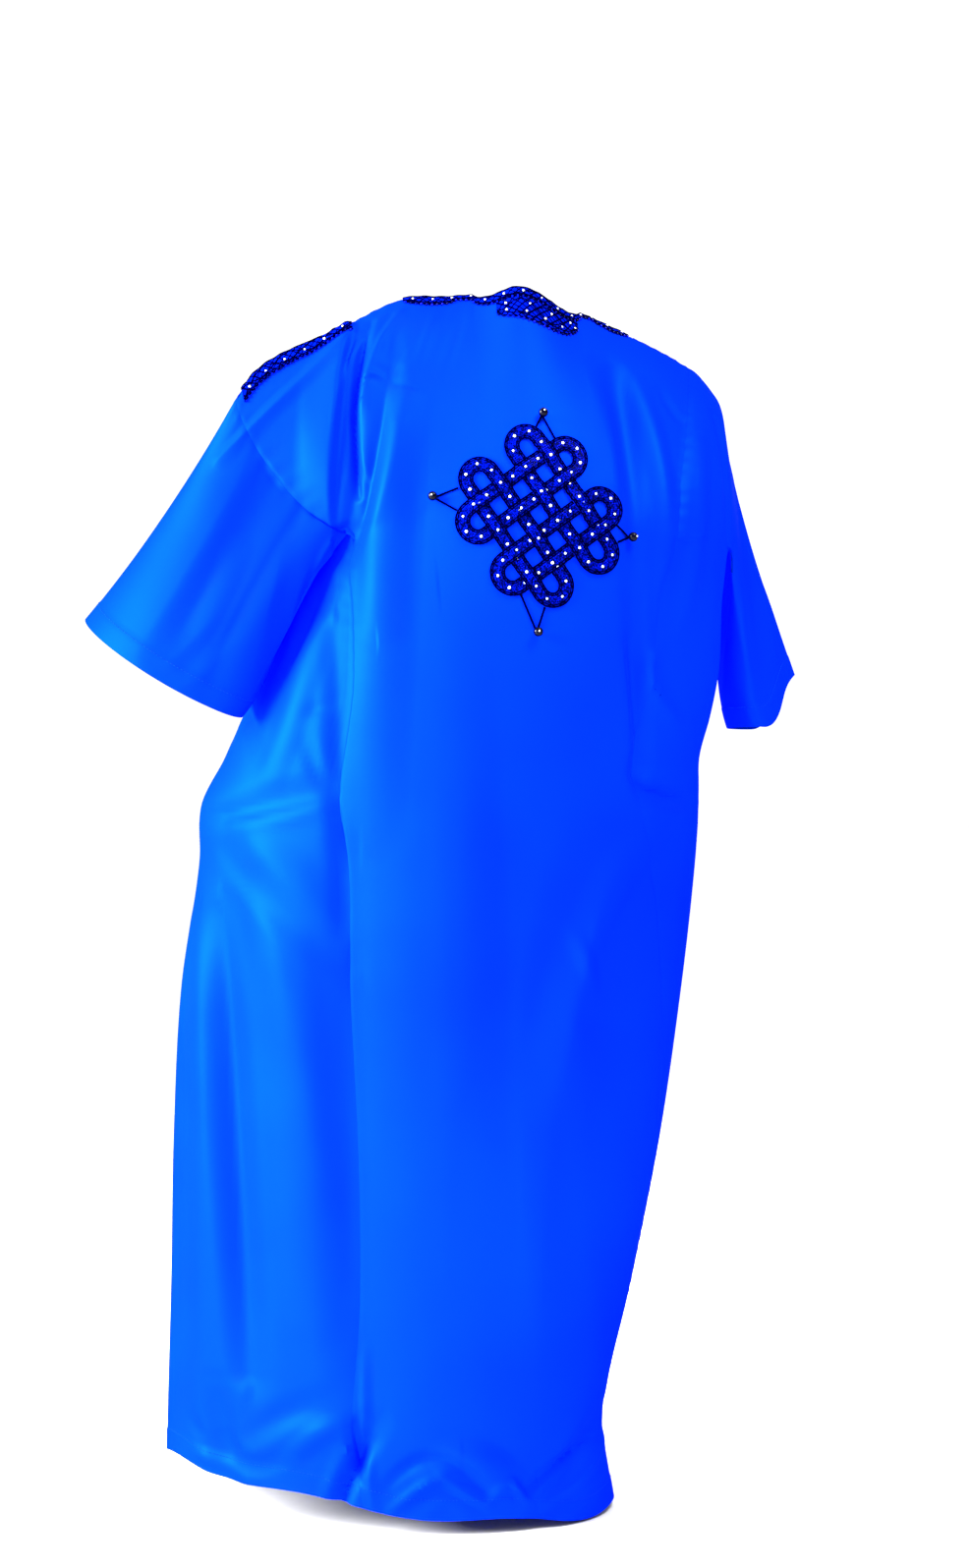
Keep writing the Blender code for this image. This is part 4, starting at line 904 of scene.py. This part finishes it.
def paced(path, normals, pitch, offset=0.5, closed=False):
    """Places along a path at an even pitch, with frames, from its running length."""
    if closed:
        path, normals = np.concatenate([path, path[:1]]), np.concatenate([normals, normals[:1]])
    run = arc(path, 0)
    count = max(int(run[-1] / pitch), 1)
    at = (np.arange(count) + offset) * run[-1] / count
    ahead, side, up = frames_along(path, normals)
    picked = [np.stack([np.interp(at, run, values[:, k]) for k in range(3)], -1)
              for values in (path, ahead, side, up)]
    return picked[0], [unit(axis) for axis in picked[1:]]


SEED = turned([(0.55, -0.40), (1.0, 0.10), (0.60, 0.80)], 6)
CRYSTAL = turned([(0.90, -0.30), (1.0, 0.10), (0.78, 0.52), (0.45, 0.72)], 8)
STITCH = turned([(0.15, -1.0), (0.33, -0.6), (0.36, 0.0), (0.33, 0.6), (0.15, 1.0)], 6)
# A stitch lies down: its long axis is turned to run ahead.
STITCH = (STITCH[0][:, [2, 0, 1]], STITCH[1])
print("bead faces:", sum(len(g) for g in SEED[1]), "crystal faces:", sum(len(g) for g in CRYSTAL[1]))

# %% [markdown]
# ## Hem stitches
#
# The hem and the cuffs are turned up once by 25 mm and stitched down. Lockstitch thread is too fine
# to see at this distance, but the row of stitches isn't. Each stitch is a small capsule of thread
# half sunk into the cloth, in one row that follows the edge.

# %% Thread and stitches
STITCH_PITCH, STITCH_HALF, STITCH_INSET = 0.0045, 0.0014, 0.001
thread = grained("spun_polyester_thread", 1400.0, "#0020a0", "#0a3ce0", relief=0.0002, Roughness=0.7,
                 Specular_IOR_Level=0.0)


def stitch_row(number, side, depth):
    """Path at this depth from one side of a grid: each column is cut where its running length reaches it."""
    number = number[::-1] if side == "top" else number
    points, ups = cloth[number], normals[number]
    down = arc(points, 0)
    i = np.clip((down >= depth).argmax(0), 1, None)
    j = np.arange(number.shape[1])
    f = ((depth - down[i - 1, j]) / (down[i, j] - down[i - 1, j]))[:, None]
    return between(points[i - 1, j], points[i, j], f), ups[i - 1, j]


rows = []
for (*_, hems), number in zip(grids, numbers):
    for side in hems.split():
        places, axes = paced(*stitch_row(number, side, HEM_DEPTH - STITCH_INSET), STITCH_PITCH)
        rows.append(repeated(STITCH, places, axes, STITCH_HALF))
add_piece("hem_stitches", *gathered(rows), thread)

# %% [markdown]
# ## Lace
#
# The neck and shoulders are edged with machine lace: a navy net with a lattice of brighter blue
# thread, a corded rim with a row of little loops called picots, and glued crystals. The net is a thin
# shell laid on the cloth, and the rim, the vine, the picots and the crystals are real relief on it.

# %% Trim materials
net, tree, shader = new_material("machine_lace_on_net", Roughness=0.60, Specular_IOR_Level=0.0)
along, across = attribute(tree, "along"), attribute(tree, "across")
# Half the distance between two threads, measured along the lace, and where a thread's edge starts and ends.
LATTICE, THREAD_EDGE = 0.0046, (0.0006, 0.0016)
lines = []
for operation in ("ADD", "SUBTRACT"):
    wave = combined(tree, "PINGPONG", combined(tree, operation, along, across), LATTICE)
    lines.append(mapped(tree, wave, *THREAD_EDGE))
cell = combined(tree, "MULTIPLY", *lines)
tree.links.new(ramp(tree, cell, (0.25, "#000030"), (0.85, "#0010a8")), shader.inputs["Base Color"])
tree.links.new(add_bump(tree, combined(tree, "SUBTRACT", 1.0, cell), Distance=0.0008), shader.inputs["Normal"])

braid = grained("rayon_soutache_braid", 700.0, "#000014", "#000026", relief=0.0003, Roughness=0.60,
                Specular_IOR_Level=0.0)
glass = tinted("cut_glass_seed_bead", (0.25, "#000444"), (0.90, "#0010c8"), Roughness=0.30, IOR=1.52,
               Specular_IOR_Level=0.02)
crystal = tinted("foil_backed_crystal", (0.2, "#cfe0ff"), (0.8, "#ffffff"), Roughness=0.08, IOR=1.7,
                 Metallic=0.15, Coat_Weight=0.5)
print("trim materials:", [m.name for m in (net, braid, glass, crystal)])

# %% Lay lace on the cloth
NET_GAP, NET_THICK = 0.0004, 0.0010
NET_TOP = NET_GAP + NET_THICK
# Cords along a strip: place from the lower rim (0) to the upper one (1), and width. They and the
# crystals are seated on the net by these heights.
LACE_CORDS, LACE_CORD_HIGH = ((0.0, 0.0018), (0.16, 0.0011), (1.0, 0.0018)), 0.0014
CORD_SEAT, CRYSTAL_SEAT, LACE_CRYSTAL = 0.0003, 0.0006, (0.0011, 0.0016)
# A vine is a wavy cord: the middle of its wave, its swing, its bend, its width and height.
VINE_MIDDLE, VINE_SWING, VINE_BEND, VINE_WIDTH, VINE_HIGH = 0.55, 0.33, 0.011, 0.0014, 0.0012
PICOT_BELOW, PICOT_LIFT, PICOT_PITCH, PICOT_SIZE = 0.0014, 0.0012, 0.0062, 0.0017
station_columns = columns_between(0, 4)
upper = {"back": np.concatenate([numbers[2], numbers[0][:, 1:]], axis=1),
         "front": np.concatenate([numbers[3], numbers[1][:, 1:]], axis=1)}


def on_panel(side, u, drop):
    """Place and normal at stations u (n) and drops (m by n) below the shoulder line, between the grid's points."""
    number = upper[side][::-1]
    below = arc(cloth[number], 0)
    column = np.interp(u, station_columns, np.arange(number.shape[1]))
    j = np.minimum(column.astype(int), number.shape[1] - 2)
    w = column - j
    profile = between(below[:, j], below[:, j + 1], w)
    row = np.stack([np.interp(drop[:, k], profile[:, k], np.arange(len(number))) for k in range(len(u))], 1)
    i = np.minimum(row.astype(int), len(number) - 2)
    v, w = (row - i)[..., None], (w + 0 * row)[..., None]
    j = j + 0 * i
    at = [sum(part * values[number[i + a, j + b]] for part, a, b in (
        ((1 - v) * (1 - w), 0, 0), ((1 - v) * w, 0, 1), (v * (1 - w), 1, 0), (v * w, 1, 1)))
        for values in (cloth, normals)]
    return at[0], unit(at[1])


random = np.random.default_rng(7)
trims = {"braid": [], "seed": [], "crystal": []}


def lay_lace(side, u, top, bottom, rows, vines=0, crystals=()):
    """A lace strip between two drops: net, corded rims, crossing vines, picots on the lower rim, and crystals.

    Each line of crystals is given by its place between the rims and its pitch.
    """
    def row_at(level, lift, below=0.0):
        """Line and normals of a row between the rims, lifted off the cloth."""
        path, ups = on_panel(side, u, (between(bottom, top, level) + below)[None])
        return path[0] + ups[0] * lift, ups[0]

    share = np.linspace(0, 1, rows)[:, None]
    drop = between(bottom[None], top[None], share)
    place, up = on_panel(side, u, drop)
    run = arc(place, 1)
    shell, faces, used = walled(place.reshape(-1, 3), up.reshape(-1, 3), quads(*drop.shape, side == "front"),
                                NET_GAP, NET_TOP)
    raised = NET_TOP + CORD_SEAT
    for level, width in LACE_CORDS:
        trims["braid"].append(cord(*row_at(level, raised), width, LACE_CORD_HIGH))
    for phase in range(vines):
        wave = VINE_MIDDLE + VINE_SWING * np.sin(run[0] / VINE_BEND + math.pi * phase)
        trims["braid"].append(cord(*row_at(wave, raised), VINE_WIDTH, VINE_HIGH))
    places, axes = paced(*row_at(0.0, PICOT_LIFT, PICOT_BELOW), PICOT_PITCH)
    trims["seed"].append(repeated(SEED, places, axes, PICOT_SIZE))
    for level, pitch in crystals:
        places, axes = paced(*row_at(level, raised + CRYSTAL_SEAT), pitch, 0.3 + 0.4 * level)
        trims["crystal"].append(repeated(CRYSTAL, places, axes, random.uniform(*LACE_CRYSTAL, len(places))))
    return shell, faces, {"along": np.tile(run.ravel()[used], 2), "across": np.tile(drop.ravel()[used], 2)}


def add_lace(name, parts):
    """One lace piece from the shells of its strips."""
    values = {key: np.concatenate([part[2][key] for part in parts]) for key in ("along", "across")}
    shells = gathered([part[:2] for part in parts])
    add_piece(name + "_net", *shells, net, name, slot="navy_lace", values=values)


# Stations where the neck lace starts on the right shoulder, meets the neck, leaves it and ends on the
# left shoulder. It is narrower outside the neck, and swells to a small medallion on each shoulder. The
# roundness of a medallion is the power of the sine that draws it.
NECK_LACE_ENDS = (1.60, 1.96, 3.03, 3.30)
NECK_LACE_WIDTH, NECK_LACE_NARROW, NARROWING = 0.0135, 0.006, 6
NECK_MEDALLIONS, MEDALLION_SWELL, NECK_MEDALLION_ROUND = ((1.60, 1.90), (3.08, 3.30)), 0.010, 0.7
MEDALLION_ROUND = 0.55
SHOULDER_LACE_ENDS, SHOULDER_LACE_WIDTH = (3.50, 3.96), {"back": 0.0175, "front": 0.0080}


def neck_lace_drop(u):
    """Width of the neck lace at each station."""
    width = NECK_LACE_WIDTH + 0 * u
    for start, end in NECK_MEDALLIONS:
        share = np.clip((u - start) / (end - start), 0, 1)
        width = width + MEDALLION_SWELL * np.sin(math.pi * share) ** NECK_MEDALLION_ROUND
    outside = np.maximum(np.clip(2 - u, 0, 1), np.clip(u - 3, 0, 1))
    return width - NECK_LACE_NARROW * np.clip(outside * NARROWING, 0, 1)


round_neck = 2 + (1 - np.cos(np.linspace(0, math.pi, 120))) / 2
u = np.concatenate([np.linspace(*NECK_LACE_ENDS[:2], 40), round_neck, np.linspace(*NECK_LACE_ENDS[2:], 40)])
add_lace("neck_lace", [lay_lace(side, u, 0 * u, neck_lace_drop(u), rows=7, vines=1, crystals=[(0.5, 0.022)])
                       for side in ("back", "front")])
u = np.linspace(*SHOULDER_LACE_ENDS, 70)
add_lace("shoulder_lace_left", [
    lay_lace("back", u, 0 * u, SHOULDER_LACE_WIDTH["back"] + 0 * u, rows=8, vines=2, crystals=[(0.4, 0.026)]),
    lay_lace("front", u, 0 * u, SHOULDER_LACE_WIDTH["front"] + 0 * u, rows=5)])
for name, side, start, end, top, bottom, swell in (
        ("neck_medallion", "back", 2.05, 2.84, 0.0150, 0.0310, 0.0180),
        ("shoulder_lace_right", "front", 1.15, 1.55, 0.0040, 0.0230, 0.0)):
    u = np.linspace(start, end, 110)
    round_end = np.sin(math.pi * np.linspace(0, 1, len(u))) ** MEDALLION_ROUND
    add_lace(name, [lay_lace(side, u, top + 0 * u, bottom + swell * round_end, rows=12, vines=2,
                             crystals=[(0.3, 0.021), (0.7, 0.025)])])

# %% [markdown]
# ## The knot on the back
#
# The knot is four closed loops of beaded braid, woven over and under each other on a slanted
# lattice. Its path is known exactly: straight strands a half pitch each side of a line, joined by
# half circles. A map of the back's depth lets every strip and bead be laid straight onto the cloth.

# %% A depth map of the back
MAP_STEP = 0.002
map_x, map_z = np.arange(-0.13, 0.15, MAP_STEP), np.arange(-0.43, -0.10, MAP_STEP)
felt = BVHTree.FromPolygons(cloth.tolist(), every.tolist())
away = Vector((0, 1, 0))
depth = np.array([[felt.ray_cast(Vector((x, -1.0, z)), away)[0].y for x in map_x] for z in map_z])
slope_z, slope_x = np.gradient(depth, MAP_STEP)


def on_back(x, z):
    """Place and outward normal on the back, straight behind layout (x, z), between the map's points."""
    i, j = (z - map_z[0]) / MAP_STEP, (x - map_x[0]) / MAP_STEP
    a, b = np.floor(i).astype(int), np.floor(j).astype(int)
    v, w = i - a, j - b
    at = [between(between(m[a, b], m[a, b + 1], w), between(m[a + 1, b], m[a + 1, b + 1], w), v)
          for m in (depth, slope_x, slope_z)]
    return np.stack([x, at[0], z], -1), unit(np.stack([at[1], at[1] * 0 - 1, at[2]], -1))


print("map:", depth.shape, "depth range (mm):", round(float(np.ptp(depth)) * 1000))

# %% Loops of the knot
KNOT_ALONG, KNOT_CROSS = np.array([0.02585, 0.01927]), np.array([-0.01930, 0.02872])
KNOT_REACH, KNOT_PLACE = (1.93, 2.07), np.array([0.0183, -0.2586])
KNOT_BAND, KNOT_LIFT, KNOT_THICK, KNOT_RISE, KNOT_CROWN = 0.0170, 0.0008, 0.0012, 0.0022, 0.0005
KNOT_EDGE, KNOT_TOP = KNOT_BAND / 2, KNOT_LIFT + KNOT_THICK
# Four strands run each way, a pitch apart. The first lies this many pitches from the knot's middle.
FIRST_STRAND = 1.5
# Rails of a band: how far to the side and how high, seven over the crowned top and two below.
RAILS = [(u * KNOT_EDGE, KNOT_TOP + KNOT_CROWN * (1 - u * u)) for u in np.linspace(-1, 1, 7)]
RAILS += [(KNOT_EDGE, KNOT_LIFT), (-KNOT_EDGE, KNOT_LIFT)]
# Cords along a band: offset and width. Then the rows of seed beads and the line of crystals.
EDGE_CORDS, EDGE_CORD_HIGH = ((-0.0078, 0.0018), (0.0078, 0.0018), (-0.0053, 0.0012), (0.0053, 0.0012)), 0.0015
SEED_ROWS, SEED_SEAT, SEED_PITCH, SEED_SIZE = (-0.0033, -0.0011, 0.0011, 0.0033), 0.0007, 0.0024, (0.0008, 0.0012)
KNOT_CRYSTAL_SEAT, KNOT_CRYSTAL_PITCH, KNOT_CRYSTAL = 0.0014, 0.0185, (0.0014, 0.0019)


def knot_loop(direction, which):
    """Centre line of a closed loop on the layout plane, and how far it rises over the loops that it crosses."""
    reach = KNOT_REACH[direction]
    stops, bend = np.linspace(-reach, reach, 90), np.linspace(0, math.pi, 30)[1:-1]
    line, rise = [], []
    for hand in (-1, 1):
        strand = 2 * which + (hand + 1) // 2
        along = -hand * stops
        nearest = np.clip(np.round(along + FIRST_STRAND), 0, 3)
        # At a crossing, a strand is fully raised for a sixth of a pitch each way, and flat again after a half.
        near = np.clip(1.5 - np.abs(along + FIRST_STRAND - nearest) * 3, 0, 1)
        over = (nearest + strand) % 2 == 1
        line += [np.stack([along, strand - FIRST_STRAND + 0 * along], -1),
                 np.stack([-hand * (reach + np.sin(bend) / 2), which * 2 - 1 + hand * np.cos(bend) / 2], -1)]
        rise += [KNOT_RISE * np.where(over, near * near * (3 - 2 * near), 0), 0 * bend]
    line = np.concatenate(line)
    one, other = (KNOT_CROSS, -KNOT_ALONG) if direction else (KNOT_ALONG, KNOT_CROSS)
    return line[:, :1] * one + line[:, 1:] * other + KNOT_PLACE, np.concatenate(rise)


def laid(line, offset, lift, closed=True):
    """Places and normals beside a line of the layout plane: moved sideways, then lifted off the cloth."""
    ahead = unit(np.roll(line, -1, 0) - np.roll(line, 1, 0) if closed else np.gradient(line, axis=0))
    plane = line + np.stack([-ahead[:, 1], ahead[:, 0]], -1) * offset
    place, up = on_back(plane[:, 0], plane[:, 1])
    return place + up * (lift + 0 * line[:, 0])[:, None], up


def facing_out(points, faces):
    """Four-sided faces turned so that the volume they close, the sum of a . (b x c) / 6, is positive."""
    a, b, c, d = (points[faces[:, k]] for k in range(4))
    volume = (a * np.cross(b, c)).sum() + (a * np.cross(c, d)).sum()
    return faces if volume > 0 else faces[:, ::-1]


def ribbon(line, rise):
    """Flat band with a slightly crowned top, swept along a closed line."""
    points = np.stack([laid(line, offset, rise + high)[0] for offset, high in RAILS], 1).reshape(-1, 3)
    return points, [facing_out(points, *tube_faces(len(line), len(RAILS), closed=True))]


bands, knot_values = [], {"along": [], "across": []}
for direction in (0, 1):
    for which in (0, 1):
        line, rise = knot_loop(direction, which)
        top = rise + KNOT_TOP
        bands.append(ribbon(line, rise))
        knot_values["along"].append(np.repeat(arc(line, 0), len(RAILS)))
        knot_values["across"].append(np.tile([offset for offset, _ in RAILS], len(line)))
        for offset, width in EDGE_CORDS:
            trims["braid"].append(cord(*laid(line, offset, top + CORD_SEAT), width, EDGE_CORD_HIGH, 6, closed=True))
        for offset in SEED_ROWS:
            places, axes = paced(*laid(line, offset, top + SEED_SEAT), SEED_PITCH, closed=True)
            trims["seed"].append(repeated(SEED, places, axes, random.uniform(*SEED_SIZE, len(places))))
        places, axes = paced(*laid(line, 0.0, top + KNOT_CRYSTAL_SEAT), KNOT_CRYSTAL_PITCH, 0.3 + 0.4 * which,
                             closed=True)
        trims["crystal"].append(repeated(CRYSTAL, places, axes, random.uniform(*KNOT_CRYSTAL, len(places))))
add_piece("knot_bands", *gathered(bands), net, "knot_applique", slot="navy_lace",
          values={key: np.concatenate(column) for key, column in knot_values.items()})

# %% [markdown]
# ## Beads and the cords that tie them
#
# Four round glass beads hang off the knot's corners, each on two short cords that run to the
# nearest lobes. A bead is a sphere with a small white crystal on its crown, which is also a painted
# highlight standing in for the glint of its glass, and the cords are laid on the cloth.

# %% Beads and tie cords
BEADS = table("""
bead          across   up       first_lobe  second_lobe
bead_top      0.0039   0.1159   2           1
bead_left    -0.1178   0.0196   3           4
bead_bottom  -0.0027  -0.1324   6           5
bead_right    0.1016  -0.0221   0           7
""")
# The white crystal on a bead's crown, of this size and seated this high, is also the bead's painted highlight.
KNOT_LOBE, BEAD_RADIUS, BEAD_GLINT_CRYSTAL, BEAD_GLINT_SEAT = 0.0263, 0.0055, 0.0010, 0.0003
# A tie cord's middle and a bead's underside stand this high above the cloth.
TIE_WIDTH, TIE_HIGH, TIE_LIFT, BEAD_LIFT = 0.0024, 0.0018, 0.0011, 0.0024
TIE_PLACES, BALL_RINGS, BALL_SIDES = 24, 23, 40
pressed = grained("pressed_glass_bead", 160.0, "#00000c", "#000018", Roughness=0.10, IOR=1.52,
                  Specular_IOR_Level=0.1)


def lobe_centres():
    """Centres of the knot's eight lobes in its own plane, anticlockwise from the right."""
    places = ((1, -1), (1, 1), (1, 2), (-1, 2), (-1, 1), (-1, -1), (-1, -2), (1, -2))
    return [(KNOT_REACH[0] * a * KNOT_ALONG + c * KNOT_CROSS) if abs(c) == 1
            else (a * KNOT_ALONG + KNOT_REACH[1] * np.sign(c) * KNOT_CROSS) for a, c in places]


lobes = lobe_centres()
for k, name in enumerate(BEADS["bead"]):
    bead, legs = np.array([BEADS["across"][k], BEADS["up"][k]]), []
    share = np.linspace(0, 1, TIE_PLACES)[:, None]
    for lobe in (lobes[int(BEADS["first_lobe"][k])], lobes[int(BEADS["second_lobe"][k])]):
        end = lobe + unit(bead - lobe) * KNOT_LOBE
        leg = laid(between(end, bead, share) + KNOT_PLACE, 0.0, TIE_LIFT, closed=False)
        legs.append(cord(*leg, TIE_WIDTH, TIE_HIGH))
    tie = name.replace("bead", "cord")
    add_piece(tie + "_braid", *gathered(legs), braid, tie, slot="navy_lace")
    place, up = on_back(*(bead + KNOT_PLACE)[:, None])
    turn = np.linspace(-1, 1, BALL_RINGS + 2)[1:-1] * math.pi / 2
    ball = turned(np.stack([np.cos(turn), np.sin(turn)], -1) * BEAD_RADIUS, BALL_SIDES)
    side = unit(np.cross(up, [[0.0, 0.0, 1.0]]))
    centre = place + up * (BEAD_RADIUS + BEAD_LIFT)
    axes = (side, np.cross(up, side), up)
    add_piece(name + "_glass", *repeated(ball, centre, axes), pressed, name, slot="navy_bead")
    # Painted highlight: the small white crystal set on the crown stands in for the bead's glint as well.
    glint_place = centre + up * (BEAD_RADIUS + BEAD_GLINT_SEAT)
    trims["crystal"].append(repeated(CRYSTAL, glint_place, axes, BEAD_GLINT_CRYSTAL))

# %% Join the small trims
# Each kind's name, material, slot, the points of one copy and the angle below which it is smooth.
# The crystals include the white ones on the beads' crowns, which also paint the beads' highlights.
for key, name, material, slot, each, smooth in (
        ("braid", "trim_cords", braid, "navy_lace", 1, 180),
        ("seed", "trim_beads", glass, "navy_bead", len(SEED[0]), 25),
        ("crystal", "trim_crystals", crystal, "navy_bead", len(CRYSTAL[0]), 25)):
    points, faces = gathered(trims[key])
    tint = np.repeat(random.uniform(0, 1, len(points) // each), each)
    add_piece(name, points, faces, material, slot=slot, smooth_below=smooth, values={"tint": tint})

# %% [markdown]
# ## Floor, light and camera
#
# The photograph is a studio cut-out on white: a pale floor and one large soft light, well to the
# left of the camera. A small light above the right shoulder lifts the upper back, and a weak one
# fills the front. The white surroundings light the rest, so that shadows stay blue, and they are
# dimmer on the right. The camera stands behind the dress, a little to its left, at hip height, with
# a short telephoto lens.

# %% Stage
FLOOR, FLOOR_RADIUS, FLOOR_SIDES = -1.4055, 60, 64
paper = grained("matt_paper_floor", 60.0, "#ebebeb", "#efefef", spread=0.2, Roughness=0.9)
angle = np.linspace(0, 2 * math.pi, FLOOR_SIDES + 1)[:-1]
edge = np.stack([np.cos(angle) * FLOOR_RADIUS, np.sin(angle) * FLOOR_RADIUS, FLOOR + 0 * angle], -1)
mesh = bpy.data.meshes.new("floor")
mesh.from_pydata(edge.tolist(), [], [list(range(FLOOR_SIDES))])
mesh.materials.append(paper)
floor = add_object("floor", mesh)


def soft_light(name, place, size, power, target=(0.05, 0.0, -0.7)):
    """A white square area light at a layout place, aimed at the dress: its side in metres, power in watts."""
    light = bpy.data.lights.new(name, "AREA")
    light.size, light.energy = size, power
    lamp = add_object(name, light)
    lamp.location = garment_frame(np.array(place)).tolist()
    lamp.rotation_euler = (Vector(target) - lamp.location).to_track_quat("-Z", "Y").to_euler()


# Direction of the studio's dim side: to the right of the camera and behind it.
DIM_SIDE = (-0.455, 0.891, 0.0)
soft_light("key", (-3.45, -1.25, 0.5), 2.0, 1000)
soft_light("top", (0.75, -0.75, 1.05), 0.7, 45, target=(-0.05, 0.1, -0.15))
soft_light("front", (0.6, 3.2, 1.4), 2.2, 45)
world = bpy.data.worlds.new("studio")
world.use_nodes = True
tree = world.node_tree
facing = add_node(tree, "ShaderNodeTexCoord").outputs["Generated"]
dim_side, sky = [
    add_node(tree, "ShaderNodeVectorMath", {0: facing, 1: side}, operation="DOT_PRODUCT").outputs["Value"]
    for side in (DIM_SIDE, (0.0, 0.0, 1.0))]
# The white surroundings fall from 1.1 on the bright side to 0.1 on the dim one, and rise by 0.8 overhead.
strength = combined(tree, "ADD", mapped(tree, dim_side, -0.3, 0.5, 1.1, 0.1), mapped(tree, sky, 0.0, 1.0, 0.0, 0.8))
tree.nodes["Background"].inputs["Color"].default_value = linear("#ffffff")
tree.links.new(strength, tree.nodes["Background"].inputs["Strength"])
bpy.context.scene.world = world
bpy.context.scene.view_settings.view_transform = "Standard"

camera = bpy.data.cameras.new("camera")
camera.lens, camera.sensor_width = 66.57, 36.0
view = add_object("camera", camera)
view.location = (1.0912, 3.2204, -0.56)
view.rotation_euler = (math.radians(90), 0.0, math.radians(162))
bpy.context.scene.camera = view
